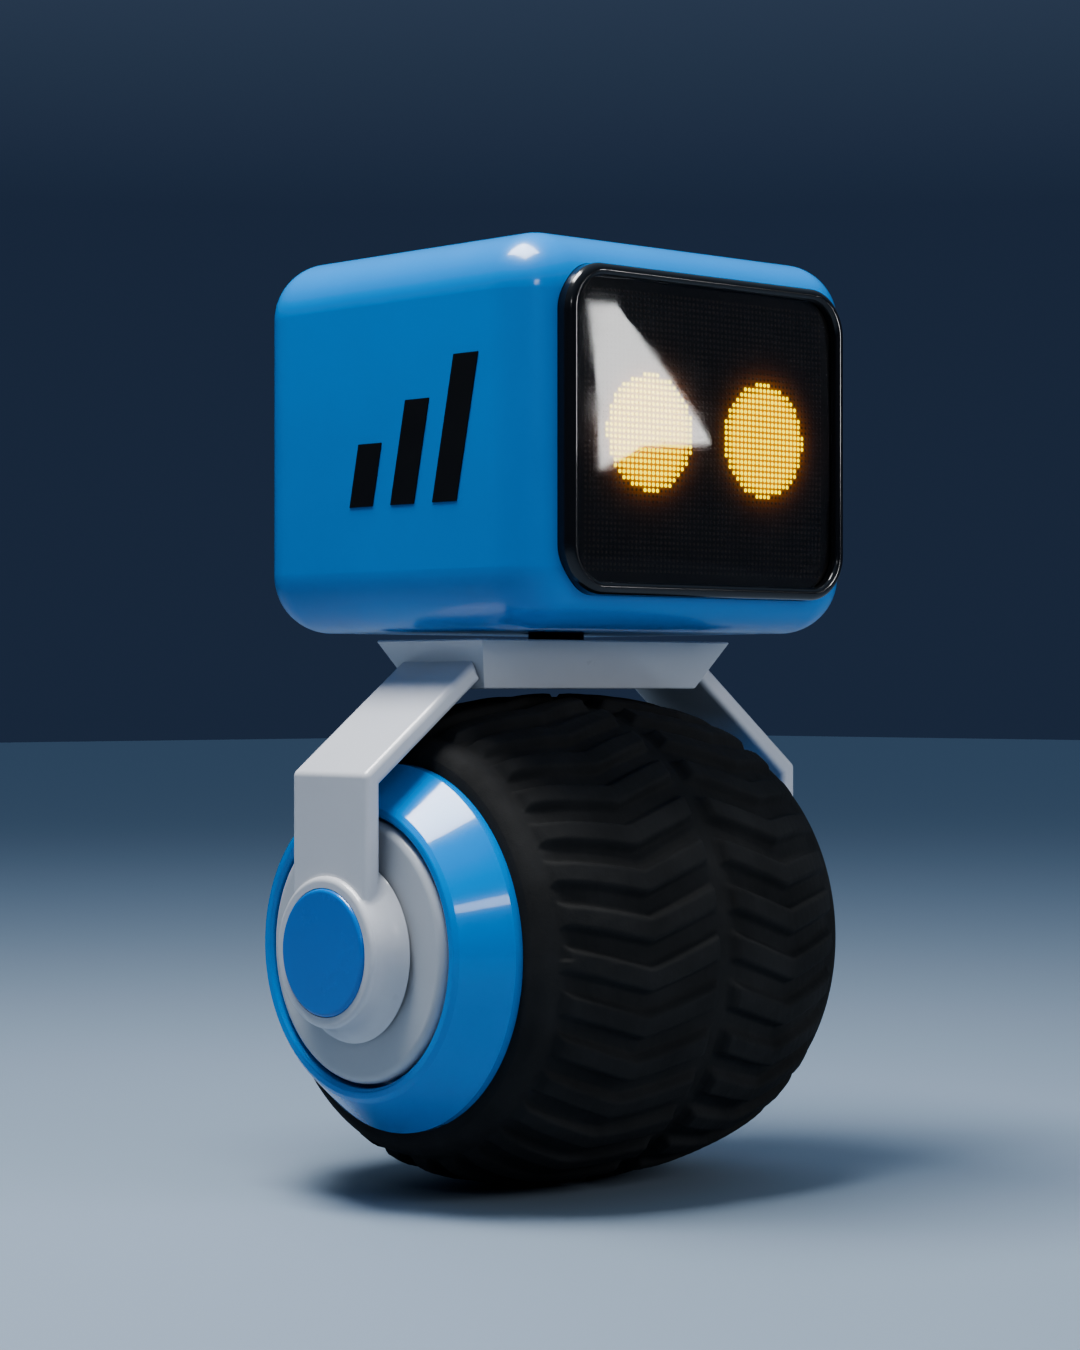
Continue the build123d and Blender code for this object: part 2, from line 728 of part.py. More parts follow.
board_face_x = board_x - 1.5
board_spots = [(sy * 13.0, sz) for sy in (-1, 1) for sz in (12.0, 27.0)]
board_thickness = 1.6
board_size = (32.0, 22.0)
board_middle = 20.0  # above the axle's line
board_chips = [((-4, 21), (6, 6)), ((7, 21), (4, 5))]
chip_height = 0.9
cable_hole_radius = 2.0
standoff_radius = 2.3
with BuildPart() as balance_board:
    with BuildSketch(across_wheel(board_face_x - board_thickness)):
        with Locations((0, board_middle)):
            RectangleRounded(*board_size, 2)
        with Locations(*board_spots):
            Circle(screw_hole_radius, mode=Mode.SUBTRACT)
        with Locations((0, cable_start_height)):
            Circle(cable_hole_radius, mode=Mode.SUBTRACT)
    extrude(amount=board_thickness)
    with BuildSketch(across_wheel(board_face_x)):
        for spot, size in board_chips:
            with Locations(spot):
                Rectangle(*size)
    extrude(amount=chip_height)
save(balance_board, "balance_board")

with BuildPart() as board_standoffs:
    with BuildSketch(across_wheel(carrier_left_x)):
        with Locations(*board_spots):
            RegularPolygon(standoff_radius, 6)
    extrude(amount=-(carrier_left_x - board_face_x))
    with BuildSketch(across_wheel(board_face_x)):
        with Locations(*board_spots):
            Circle(screw_radius)
    extrude(amount=-board_thickness)
    with BuildSketch(across_wheel(board_face_x - board_thickness)):
        with Locations(*board_spots):
            Circle(screw_head_radius)
    extrude(amount=-screw_head_height)
save(board_standoffs, "board_standoffs")

with BuildPart() as drive_pinion:
    with BuildSketch(across_wheel(gear_x)):
        with Locations((motor_y, motor_z)):
            Polygon(
                *gear_outline(
                    drive_module,
                    drive_pinion_teeth,
                    math.pi * drive_module / 2 - gear_backlash,
                    drive_module * (drive_pinion_teeth / 2 - 1.2),
                    drive_module * (drive_pinion_teeth / 2 + 0.85),
                    90.0,
                ),
                align=None,
            )
            Circle(shaft_radius + 0.01, mode=Mode.SUBTRACT)
    extrude(amount=gear_width)
save(drive_pinion, "drive_pinion")

# ================================================================ WHEEL
drum_half_width = 54.0
drum_inner_radius = drum_radius - drum_wall
web_x = 60.0
bearing_outer_radius = 9.5
bearing_x = 60.6
bearing_width = 5.0
wheel_ball_count = 12
bearing_seat_radius = bearing_outer_radius + 3.0
disc_bore_radius = axle_radius + 1.0
disc_edge_round = 2.2
ring_inner, ring_outer, ball_circle, ball_radius = bearing_rings(axle_radius, bearing_outer_radius)


with BuildPart() as ring_gear:
    with BuildSketch(across_wheel(gear_x)):
        Circle(drum_inner_radius)
        Polygon(
            *gear_outline(
                drive_module,
                ring_teeth,
                math.pi * drive_module / 2 + gear_backlash,
                drive_module * (ring_teeth / 2 - 0.7),
                drive_module * (ring_teeth / 2 + 1.25),
                90.0,
            ),
            align=None,
            mode=Mode.SUBTRACT,
        )
    extrude(amount=gear_width)
save(ring_gear, "ring_gear")

rim_screw_x = drum_half_width - 2.2
rim_screw_count = 6
rim_screw_head_radius = 2.0
rim_screw_head_height = 1.3
rim_screw_length = 4.2


def rim_screw(side, sink, head_radius, shank_radius):
    """Six short radial screws near one end of the drum, or the holes for them."""
    with BuildPart() as screws:
        for turn in range(rim_screw_count):
            angle = 2 * math.pi * turn / rim_screw_count
            outward = (0, math.cos(angle), math.sin(angle))
            for radius, near, far in (
                (head_radius, drum_radius - rim_screw_head_height, drum_radius - sink),
                (shank_radius, drum_radius - rim_screw_length, drum_radius - sink),
            ):
                spot = (side * rim_screw_x, near * outward[1], axle_z + near * outward[2])
                with BuildSketch(Plane(origin=spot, z_dir=outward)):
                    Circle(radius)
                extrude(amount=far - near)
    return screws


with BuildPart() as rim_screws:
    for side in (-1, 1):
        add(rim_screw(side, 0.1, rim_screw_head_radius, screw_radius).part)
save(rim_screws, "rim_screws")

with BuildPart() as rim_drum:
    with BuildSketch(across_wheel(-drum_half_width)):
        Circle(drum_radius)
        Circle(drum_inner_radius, mode=Mode.SUBTRACT)
    extrude(amount=2 * drum_half_width)
    for side in (-1, 1):
        add(rim_screw(side, 0.0, rim_screw_head_radius + 0.05, screw_hole_radius).part, mode=Mode.SUBTRACT)
save(rim_drum, "rim_drum")

rim_outline = [
    (drum_half_width - 4.0, drum_inner_radius - 0.05),
    (drum_half_width + 0.1, drum_inner_radius - 0.05),
    (drum_half_width + 0.1, rim_edge_radius),
    (rim_edge_x, rim_edge_radius),
    (lip_x - 1.0, lip_radius + 0.4),
    (lip_x, lip_radius - 0.8),
    (lip_x, lip_radius - 2.4),
    (lip_x - 0.9, lip_radius - 3.3),
    (web_x + 2.0, lip_radius - 3.3),
    (web_x + 2.0, bearing_seat_radius),
    (bearing_x + bearing_width, bearing_seat_radius),
    (bearing_x + bearing_width, bearing_outer_radius),
    (bearing_x, bearing_outer_radius),
    (bearing_x, bearing_outer_radius - 1.5),
    (bearing_x - 1.0, bearing_outer_radius - 1.5),
    (bearing_x - 1.0, bearing_seat_radius),
    (web_x, bearing_seat_radius),
    (web_x, lip_radius - 1.3),
    (lip_x - 2.6, lip_radius - 0.9),
    (rim_edge_x + 0.6, rim_edge_radius - 3.1),
    (drum_half_width + 1.9, drum_inner_radius - 2.1),
    (drum_half_width - 4.0, drum_inner_radius - 2.1),
]

for side, node in ((-1, "rim_left"), (1, "rim_right")):
    with BuildPart() as rim:
        with BuildSketch(wheel_section):
            Polygon(*[(side * x, radius) for x, radius in rim_outline], align=None)
        revolve(axis=wheel_axis)
        lip_edges = [
            edge
            for edge in rim.edges().filter_by(GeomType.CIRCLE)
            if abs(edge.center().X) > lip_x - 1.1 and edge.radius > lip_radius - 3.4
        ]
        fillet(lip_edges, radius=0.6)
        add(rim_screw(side, 0.0, rim_screw_head_radius + 0.05, screw_radius).part, mode=Mode.SUBTRACT)
    save(rim, node)

disc_back_x = disc_front_x - disc_thickness
for side, node in ((-1, "hub_disc_left"), (1, "hub_disc_right")):
    with BuildPart() as hub_disc:
        with BuildSketch(across_wheel(side * disc_back_x)):
            Circle(disc_radius)
            Circle(disc_bore_radius, mode=Mode.SUBTRACT)
        extrude(amount=side * disc_thickness)
        outer = hub_disc.edges().group_by(Axis.X)[-1 if side > 0 else 0].sort_by(SortBy.RADIUS)[-1]
        fillet(outer, radius=disc_edge_round)
        with BuildSketch(across_wheel(side * disc_back_x)):
            Circle(bearing_seat_radius + clearance)
            Circle(disc_bore_radius, mode=Mode.SUBTRACT)
        recess = bearing_x + bearing_width + clearance - disc_back_x
        extrude(amount=side * recess, mode=Mode.SUBTRACT)
        with BuildSketch(across_wheel(side * (web_x + 2.0))):
            Circle(bearing_seat_radius + 2.2)
            Circle(bearing_seat_radius, mode=Mode.SUBTRACT)
            Circle(disc_radius - 1.0)
            Circle(disc_radius - 3.0, mode=Mode.SUBTRACT)
        extrude(amount=side * (disc_back_x - web_x - 2.0))
    save(hub_disc, node)


def both_bearings(outer, inner):
    """Rings for the two wheel bearings, from outer to inner radius."""
    with BuildPart() as rings:
        for start in (-bearing_x - bearing_width, bearing_x):
            with BuildSketch(across_wheel(start)):
                Circle(outer)
                Circle(inner, mode=Mode.SUBTRACT)
            extrude(amount=bearing_width)
    return rings


save(both_bearings(ring_inner, axle_radius), "wheel_bearing_inner_rings")
save(both_bearings(bearing_outer_radius, ring_outer), "wheel_bearing_outer_rings")

with BuildPart() as wheel_bearing_balls:
    for middle in (-bearing_x - bearing_width / 2, bearing_x + bearing_width / 2):
        for turn in range(wheel_ball_count):
            angle = 2 * math.pi * turn / wheel_ball_count
            with Locations((middle, ball_circle * math.cos(angle), axle_z + ball_circle * math.sin(angle))):
                Sphere(ball_radius)
save(wheel_bearing_balls, "wheel_bearing_balls")

# ---------------------------------------------------------------- tyre
tyre_half_width = 54.6
crown_power = 2.1
tyre_wall = 3.6
foam_half_width = 46.0


def crown(x, top, half_width):
    """Radius of a barrel profile at x: it falls from its top in the middle to the rim's edge."""
    fall = max(0.0, 1 - (abs(x) / half_width) ** crown_power) ** (1 / crown_power)
    return rim_edge_radius - 0.1 + (top - rim_edge_radius + 0.1) * fall


def barrel(top, half_width, inner_radius, reach):
    """A solid ring with the barrel profile outside, out to x = reach, and a plain bore."""
    steps = 14
    stations = [reach * math.sin(math.pi / 2 * k / steps) for k in range(-steps, steps + 1)]
    crest = [(x, crown(x, top, half_width)) for x in stations]
    with BuildPart() as ring:
        with BuildSketch(wheel_section):
            with BuildLine():
                Spline(*crest)
                Polyline(crest[-1], (reach, inner_radius), (-reach, inner_radius), crest[0])
            make_face()
        revolve(axis=wheel_axis)
    return ring


lug_stations = [(lug_inner_x, lug_inner_rise), (lug_apex_x, 0.0), (lug_outer_x, lug_outer_rise)]


def lug_outline(side):
    """A V-shaped lug seen from the front, as x and height above the axle; its apex points down."""
    lower, upper = [], []
    for x, rise in lug_stations:
        radius = crown(x, tread_crown, tyre_half_width)
        lower.append((side * x, radius * math.sin(math.radians(rise - lug_width / 2))))
        upper.append((side * x, radius * math.sin(math.radians(rise + lug_width / 2))))
    return lower + upper[::-1]


with BuildPart() as one_lug_pair:
    with BuildSketch(Plane(origin=(0, -tread_crown - 1, axle_z), x_dir=(1, 0, 0), z_dir=(0, -1, 0))):
        for side in (-1, 1):
            Polygon(*lug_outline(side), align=None)
    extrude(amount=-22)
    lug_shell = barrel(tread_crown, tyre_half_width, tyre_crown - 16, lug_outer_x + 1)
    add(lug_shell.part, mode=Mode.INTERSECT)
    lug_root = barrel(tyre_crown - 0.6, tyre_half_width - 0.8, tyre_crown - 20, lug_outer_x + 2)
    add(lug_root.part, mode=Mode.SUBTRACT)


def foam_space(shrink):
    """The hollow between tyre and drum, or the foam ring that fills it when shrunk a little."""
    half_width = foam_half_width - shrink
    crest_count = 12
    stations = [half_width * (2 * k / crest_count - 1) for k in range(crest_count + 1)]
    crest = [(x, crown(x, tyre_crown - tyre_wall - shrink, tyre_half_width - 3)) for x in stations]
    with BuildPart() as ring:
        with BuildSketch(wheel_section):
            with BuildLine():
                Spline(*crest)
                Polyline(crest[-1], (half_width, drum_radius), (-half_width, drum_radius), crest[0])
            make_face()
        revolve(axis=wheel_axis)
    return ring


save(foam_space(0.2), "tyre_foam")

with BuildPart() as tyre:
    add(barrel(tyre_crown, tyre_half_width - 0.6, drum_radius, drum_half_width).part)
    add(foam_space(0.0).part, mode=Mode.SUBTRACT)
    pitch = 360 / lug_count
    add([one_lug_pair.part.rotate(wheel_axis, pitch * (k + 0.5)) for k in range(lug_count)])
save(tyre, "tyre")

# ================================================================ HEAD
base_thickness = 2.4
base_half = (42.0, 37.5)
base_hole_half = (38.0, 33.5)
inner_floor_z = head_bottom_z + 5.0
inner_front_y = face_y + 5.0
inner_roof_z = head_top_z - head_wall
inner_half_x = head_width / 2 - head_wall
base_screws = corners(38.4, 33.9)
bezel_back_y = face_y + 2.5
pocket_play = 0.1
bezel_screws = corners(44.8, 36.0)
button_x, button_z = 30.0, head_bottom_z + 27.0
button_radius = 5.0
button_travel = 1.0
button_play = 0.12
button_flange = (6.2, 1.2)  # radius and thickness, behind the wall
button_edge_round = 0.6
button_stem_radius = 1.5
button_front_y = back_y + 1.3
usb_x, usb_z = 0.0, head_bottom_z + 24.0
usb_half = (4.5, 1.65)
speaker_z = head_mid_z + 18.5
speaker_radius = 14.0
board_back_y = 42.0
head_board_half = (38.0, 20.0)
head_board_z = head_bottom_z + 30.0
head_board_screws = [(x, head_board_z - screen_z + z) for x, z in corners(34.0, 16.0)]
post_radius = 3.2
switch_size = 6.0
switch_height = 1.6
speaker_collar = 6.0  # the ring on the back wall that the speaker sits in
speaker_collar_wall = 2.1
grille_hole_radius = 1.2
grille_pitch = 3.9
panel_opening = (84.0, 66.0)
head_chips = [((18, -4), (10, 10)), ((-20, 2), (16, 12)), ((-18, -13), (7, 5))]


def rounded_block(half_x, front_y, rear_y, low_z, high_z, radius):
    """A box with every edge and corner rounded."""
    with BuildPart() as block:
        with BuildSketch(Plane.XY.offset(low_z)):
            with Locations((0, (front_y + rear_y) / 2)):
                Rectangle(2 * half_x, rear_y - front_y)
        extrude(amount=high_z - low_z)
        fillet(block.edges(), radius=radius)
    return block


with BuildPart() as head_cavity:
    add(
        rounded_block(
            inner_half_x, inner_front_y, inner_back_y, inner_floor_z, inner_roof_z, head_round - head_wall
        ).part
    )
    for x, z in head_board_screws:
        with BuildSketch(facing_back(board_back_y + board_thickness)):
            with Locations((-x, z)):
                Circle(post_radius)
        extrude(amount=inner_back_y, mode=Mode.SUBTRACT)
    with BuildSketch(facing_back(inner_back_y - speaker_collar)):
        with Locations((0, speaker_z - screen_z)):
            Circle(speaker_radius + clearance + speaker_collar_wall)
            Circle(speaker_radius + clearance, mode=Mode.SUBTRACT)
    extrude(amount=speaker_collar, mode=Mode.SUBTRACT)

with BuildPart() as head_shell:
    add(rounded_block(head_width / 2, face_y, back_y, head_bottom_z, head_top_z, head_round).part)
    add(head_cavity.part, mode=Mode.SUBTRACT)
    with BuildSketch(Plane.XY.offset(head_bottom_z)):
        RectangleRounded(2 * (base_half[0] + pocket_play), 2 * (base_half[1] + pocket_play), 6.1)
    extrude(amount=base_thickness, mode=Mode.SUBTRACT)
    with BuildSketch(Plane.XY.offset(head_bottom_z)):
        RectangleRounded(2 * base_hole_half[0], 2 * base_hole_half[1], 5)
        with Locations(*base_screws):
            Circle(screw_radius)
    extrude(amount=inner_floor_z - head_bottom_z, mode=Mode.SUBTRACT)
    with BuildSketch(facing_front(bezel_back_y)):
        pocket_size = (bezel_width + 2 * pocket_play, bezel_height + 2 * pocket_play)
        RectangleRounded(*pocket_size, bezel_round + pocket_play)
    extrude(amount=8.0, mode=Mode.SUBTRACT)
    with BuildSketch(facing_front(inner_front_y + 1.0)):
        RectangleRounded(*panel_opening, 6)
        with Locations(*bezel_screws):
            Circle(screw_hole_radius)
    extrude(amount=8.0, mode=Mode.SUBTRACT)
    with BuildSketch(facing_front(inner_front_y)):
        with Locations(*bezel_screws):
            Circle(2.2)
    extrude(amount=-10.0, mode=Mode.SUBTRACT)
    with BuildSketch(facing_back(inner_back_y - 1.0)):
        with Locations((-button_x, button_z - screen_z)):
            Circle(button_radius + button_play)
        with Locations((-usb_x, usb_z - screen_z)):
            RectangleRounded(2 * usb_half[0] + 0.2, 2 * usb_half[1] + 0.2, usb_half[1])
        with Locations((0, speaker_z - screen_z)):
            Circle(grille_hole_radius)
        for ring in (1, 2, 3):
            with Locations((0, speaker_z - screen_z)):
                with PolarLocations(grille_pitch * ring, 6 * ring):
                    Circle(grille_hole_radius)
    extrude(amount=head_wall + 2.0, mode=Mode.SUBTRACT)
    for x, z in head_board_screws:
        with BuildSketch(facing_back(board_back_y + board_thickness)):
            with Locations((-x, z)):
                Circle(screw_radius)
        extrude(amount=5.0, mode=Mode.SUBTRACT)
save(head_shell, "head_shell")

servo_y = pan_module * (pan_gear_teeth + servo_pinion_teeth) / 2
servo_body_z = pan_gear_z + pan_gear_width + 2.0
servo_tab_z = servo_body_z + 7.0
servo_tab_thickness = 2.4
servo_middle_x = 5.6
servo_shaft_radius = 2.4
servo_size = (22.8, 12.2)
servo_height = 22.0
servo_tab_length = 32.4
servo_tab_spots = [(servo_middle_x - 14.0, servo_y), (servo_middle_x + 14.0, servo_y)]
shelf_thickness = 3.0
shelf_size = (50.0, 18.0)
pillar_radius = 2.6
pillar_spots = [(servo_middle_x + x, servo_y + y) for x, y in corners(21.6, 5.9)]

with BuildPart() as head_base:
    with BuildSketch(Plane.XY.offset(head_bottom_z)):
        RectangleRounded(2 * base_half[0], 2 * base_half[1], 6)
    extrude(amount=base_thickness)
    with BuildSketch(Plane.XY.offset(head_bottom_z)):
        Circle(pan_bearing_outer + 2.5)
    extrude(amount=pan_bearing_z + pan_bearing_width - head_bottom_z)
    with BuildSketch(Plane.XY.offset(pan_bearing_z)):
        Circle(pan_bearing_outer)
    extrude(amount=20.0, mode=Mode.SUBTRACT)
    with BuildSketch(Plane.XY.offset(head_bottom_z)):
        Circle(pan_outer_ring)
        with Locations(*base_screws, *pillar_spots):
            Circle(screw_hole_radius)
    extrude(amount=base_thickness, mode=Mode.SUBTRACT)
    with BuildSketch(Plane.XY.offset(head_bottom_z)):
        with Locations(*base_screws, *pillar_spots):
            Circle(counterbore_radius)
    extrude(amount=counterbore_depth, mode=Mode.SUBTRACT)
save(head_base, "head_base")

with BuildPart() as head_screws:
    for radius, depth in ((screw_head_radius, screw_head_height), (screw_radius, 4.8)):
        with BuildSketch(Plane.XY.offset(head_bottom_z)):
            with Locations(*base_screws):
                Circle(radius)
        extrude(amount=depth)
save(head_screws, "head_screws")

with BuildPart() as pan_bearing_outer_ring:
    with BuildSketch(Plane.XY.offset(pan_bearing_z)):
        Circle(pan_bearing_outer)
        Circle(pan_outer_ring, mode=Mode.SUBTRACT)
    extrude(amount=pan_bearing_width)
save(pan_bearing_outer_ring, "pan_bearing_outer_ring")

# ---------------------------------------------------------------- screen
panel_face_y = pixel_plane_y + 0.6
eye_thickness = 0.5
glass_back_y = panel_face_y - eye_thickness
glass_radius = 730.0  # of the dome
bezel_outer_round = 2.0
bezel_inner_round = 1.2

with BuildPart() as display_bezel:
    with BuildSketch(facing_front(bezel_back_y)):
        RectangleRounded(bezel_width, bezel_height, bezel_round)
    extrude(amount=bezel_back_y - bezel_front_y)
    fillet(display_bezel.faces().sort_by(Axis.Y)[0].edges(), radius=bezel_outer_round)
    with BuildSketch(facing_front(bezel_back_y)):
        RectangleRounded(window_width, window_height, window_round)
    extrude(amount=10.0, mode=Mode.SUBTRACT)
    with BuildSketch(facing_front(bezel_back_y)):
        with Locations(*bezel_screws):
            Circle(screw_radius)
    extrude(amount=3.0, mode=Mode.SUBTRACT)
    fillet(display_bezel.faces().sort_by(Axis.Y)[0].inner_wires()[0].edges(), radius=bezel_inner_round)
save(display_bezel, "display_bezel")

with BuildPart() as bezel_screws_part:
    with BuildSketch(facing_front(inner_front_y)):
        with Locations(*bezel_screws):
            Circle(screw_head_radius)
    extrude(amount=-screw_head_height)
    with BuildSketch(facing_front(inner_front_y)):
        with Locations(*bezel_screws):
            Circle(screw_radius)
    extrude(amount=5.0)
save(bezel_screws_part, "bezel_screws")

with BuildPart() as display_glass:
    with BuildSketch(facing_front(glass_back_y)):
        RectangleRounded(window_width - 0.2, window_height - 0.2, window_round - 0.1)
    extrude(amount=6.0)
    with Locations((0, glass_edge_y - glass_dome + glass_radius, screen_z)):
        Sphere(glass_radius, mode=Mode.INTERSECT)
save(display_glass, "display_glass")

with BuildPart() as led_panel:
    with BuildSketch(facing_front(bezel_back_y)):
        RectangleRounded(window_width - 0.4, window_height - 0.4, window_round - 0.2)
    extrude(amount=bezel_back_y - panel_face_y)
save(led_panel, "led_panel")


def pixel_lit(column, row):
    """Whether a pixel of the left eye's square block belongs to the round eye."""
    return (column - 10.25) ** 2 / 107.0 + (row - 10) ** 2 / 103.5 <= 1


with BuildPart() as eye_pixels:
    with BuildSketch(facing_front(panel_face_y)):
        for side in (-1, 1):
            for row in range(eye_columns):
                lit = [column for column in range(eye_columns) if pixel_lit(column, row)]
                near = eye_offset_columns + eye_columns - 1 - lit[-1] - 0.5
                far = eye_offset_columns + eye_columns - 1 - lit[0] + 0.5
                middle = side * (near + far) / 2 * pixel_pitch
                with Locations((middle, (row - 10) * pixel_pitch)):
                    Rectangle((far - near) * pixel_pitch, pixel_pitch)
    extrude(amount=eye_thickness)
save(eye_pixels, "eye_pixels")

ribbon_z = screen_z - 4.0
with BuildPart() as panel_ribbon:
    with BuildSketch(Plane.YZ.offset(-10)):
        Polygon(
            (bezel_back_y, ribbon_z),
            (bezel_back_y + 6.0, ribbon_z),
            (board_back_y - 8.0, head_board_z + 12.0),
            (board_back_y, head_board_z + 12.0),
            (board_back_y, head_board_z + 12.5),
            (board_back_y - 7.8, head_board_z + 12.5),
            (bezel_back_y + 6.2, ribbon_z + 0.5),
            (bezel_back_y, ribbon_z + 0.5),
            align=None,
        )
    extrude(amount=20)
save(panel_ribbon, "panel_ribbon")

# ---------------------------------------------------------------- main board and what it carries
with BuildPart() as main_board:
    with BuildSketch(facing_back(board_back_y)):
        with Locations((0, head_board_z - screen_z)):
            RectangleRounded(2 * head_board_half[0], 2 * head_board_half[1], 2)
        with Locations(*[(-x, z) for x, z in head_board_screws]):
            Circle(screw_hole_radius, mode=Mode.SUBTRACT)
    extrude(amount=board_thickness)
    with BuildSketch(facing_front(board_back_y)):
        for (x, z), size in head_chips:
            with Locations((x, head_board_z - screen_z + z)):
                Rectangle(*size)
    extrude(amount=chip_height)
    with BuildSketch(facing_back(board_back_y + board_thickness)):
        with Locations((-button_x, button_z - screen_z)):
            Rectangle(switch_size, switch_size)
    extrude(amount=switch_height)
save(main_board, "main_board")

with BuildPart() as board_screws:
    with BuildSketch(facing_front(board_back_y)):
        with Locations(*head_board_screws):
            Circle(screw_head_radius)
    extrude(amount=screw_head_height)
    with BuildSketch(facing_front(board_back_y)):
        with Locations(*head_board_screws):
            Circle(screw_radius)
    extrude(amount=-5.0)
save(board_screws, "board_screws")

with BuildPart() as usb_socket:
    with BuildSketch(facing_back(board_back_y + board_thickness)):
        with Locations((-usb_x, usb_z - screen_z)):
            RectangleRounded(2 * usb_half[0], 2 * usb_half[1], usb_half[1] - 0.02)
    extrude(amount=back_y - board_back_y - board_thickness)
    with BuildSketch(facing_back(back_y - 7.0)):
        with Locations((-usb_x, usb_z - screen_z)):
            RectangleRounded(2 * usb_half[0] - 0.7, 2 * usb_half[1] - 0.7, usb_half[1] - 0.37)
            Rectangle(6.6, 0.7, mode=Mode.SUBTRACT)
    extrude(amount=8.0, mode=Mode.SUBTRACT)
    with BuildSketch(facing_back(back_y - 1.0)):
        with Locations((-usb_x, usb_z - screen_z)):
            Rectangle(6.8, 0.9)
    extrude(amount=2.0, mode=Mode.SUBTRACT)
save(usb_socket, "usb_socket")

with BuildPart() as speaker:
    with BuildSketch(facing_back(inner_back_y - 1.0)):
        with Locations((0, speaker_z - screen_z)):
            Circle(speaker_radius)
            Circle(speaker_radius - 2.0, mode=Mode.SUBTRACT)
    extrude(amount=1.0)
    with BuildSketch(facing_back(inner_back_y - 3.0)):
        with Locations((0, speaker_z - screen_z)):
            Circle(speaker_radius)
    extrude(amount=2.0)
    with BuildSketch(facing_back(inner_back_y - 11.0)):
        with Locations((0, speaker_z - screen_z)):
            Circle(9.0)
    extrude(amount=8.0)
save(speaker, "speaker")

with BuildPart() as pan_servo:
    with BuildSketch(Plane.XY.offset(servo_body_z)):
        with Locations((servo_middle_x, servo_y)):
            RectangleRounded(*servo_size, 1)
    extrude(amount=servo_height)
    with BuildSketch(Plane.XY.offset(servo_tab_z)):
        with Locations((servo_middle_x, servo_y)):
            RectangleRounded(servo_tab_length, servo_size[1], 1)
    extrude(amount=servo_tab_thickness)
    with BuildSketch(Plane.XY.offset(servo_tab_z)):
        with Locations(*servo_tab_spots):
            Circle(screw_hole_radius)
    extrude(amount=servo_tab_thickness, mode=Mode.SUBTRACT)
    with BuildSketch(Plane.XY.offset(pan_gear_z - 0.5)):
        with Locations((0, servo_y)):
            Circle(servo_shaft_radius)
    extrude(amount=servo_body_z - pan_gear_z + 0.5)
save(pan_servo, "pan_servo")

with BuildPart() as servo_mount:
    with BuildSketch(Plane.XY.offset(servo_tab_z - shelf_thickness)):
        with Locations((servo_middle_x, servo_y)):
            RectangleRounded(*shelf_size, 2)
            Rectangle(*(side + 0.4 for side in servo_size), mode=Mode.SUBTRACT)
        with Locations(*servo_tab_spots):
            Circle(screw_radius, mode=Mode.SUBTRACT)
    extrude(amount=shelf_thickness)
    with BuildSketch(Plane.XY.offset(head_bottom_z + base_thickness)):
        with Locations(*pillar_spots):
            Circle(pillar_radius)
    extrude(amount=servo_tab_z - shelf_thickness - head_bottom_z - base_thickness)
    with BuildSketch(Plane.XY.offset(head_bottom_z + base_thickness)):
        with Locations(*pillar_spots):
            Circle(screw_radius)
    extrude(amount=6.0, mode=Mode.SUBTRACT)
save(servo_mount, "servo_mount")

with BuildPart() as servo_screws:
    for radius, amount in ((screw_head_radius, screw_head_height), (screw_radius, -4.0)):
        with BuildSketch(Plane.XY.offset(servo_tab_z + servo_tab_thickness)):
            with Locations(*servo_tab_spots):
                Circle(radius)
        extrude(amount=amount)
    for radius, amount in ((screw_head_radius, screw_head_height), (screw_radius, 7.0)):
        with BuildSketch(Plane.XY.offset(head_bottom_z)):
            with Locations(*pillar_spots):
                Circle(radius)
        extrude(amount=amount)
save(servo_screws, "servo_screws")

with BuildPart() as pan_pinion:
    with BuildSketch(Plane.XY.offset(pan_gear_z + 0.1)):
        with Locations((0, servo_y)):
            Polygon(
                *gear_outline(
                    pan_module,
                    servo_pinion_teeth,
                    math.pi * pan_module / 2 - gear_backlash,
                    pan_module * (servo_pinion_teeth / 2 - 1.2),
                    pan_module * (servo_pinion_teeth / 2 + 0.85),
                    90.0 + 180.0 / servo_pinion_teeth,
                ),
                align=None,
            )
            Circle(servo_shaft_radius + 0.01, mode=Mode.SUBTRACT)
    extrude(amount=pan_gear_width - 0.2)
save(pan_pinion, "pan_pinion")

# ---------------------------------------------------------------- power button
stem_tip_y = board_back_y + board_thickness + switch_height + button_travel + 0.05
with BuildPart() as power_button:
    with BuildSketch(facing_back(inner_back_y - 1.4)):
        with Locations((-button_x, button_z - screen_z)):
            Circle(button_flange[0])
    extrude(amount=button_flange[1])
    with BuildSketch(facing_back(inner_back_y - 0.5)):
        with Locations((-button_x, button_z - screen_z)):
            Circle(button_radius)
    extrude(amount=button_front_y - inner_back_y + 0.5)
    fillet(power_button.edges().sort_by(Axis.Y)[-1], radius=button_edge_round)
    with BuildSketch(facing_back(stem_tip_y)):
        with Locations((-button_x, button_z - screen_z)):
            Circle(button_stem_radius)
    extrude(amount=inner_back_y - stem_tip_y)
save(power_button, "power_button")

spring_start_y = board_back_y + board_thickness + 0.3
spring_end_y = inner_back_y - 1.7
spring_radius = 4.6
spring_turns = 5
spring_wire_radius = 0.25
spring_length = spring_end_y - spring_start_y
with BuildPart() as button_spring:
    with BuildLine():
        Helix(pitch=spring_length / spring_turns, height=spring_length, radius=spring_radius)
    with BuildSketch(Plane(origin=(spring_radius, 0, 0), z_dir=(0, 1, 0.2))):
        Circle(spring_wire_radius)
    sweep(is_frenet=True)
button_spring.part = button_spring.part.rotate(Axis.X, -90).translate((button_x, spring_start_y, button_z))
save(button_spring, "button_spring")

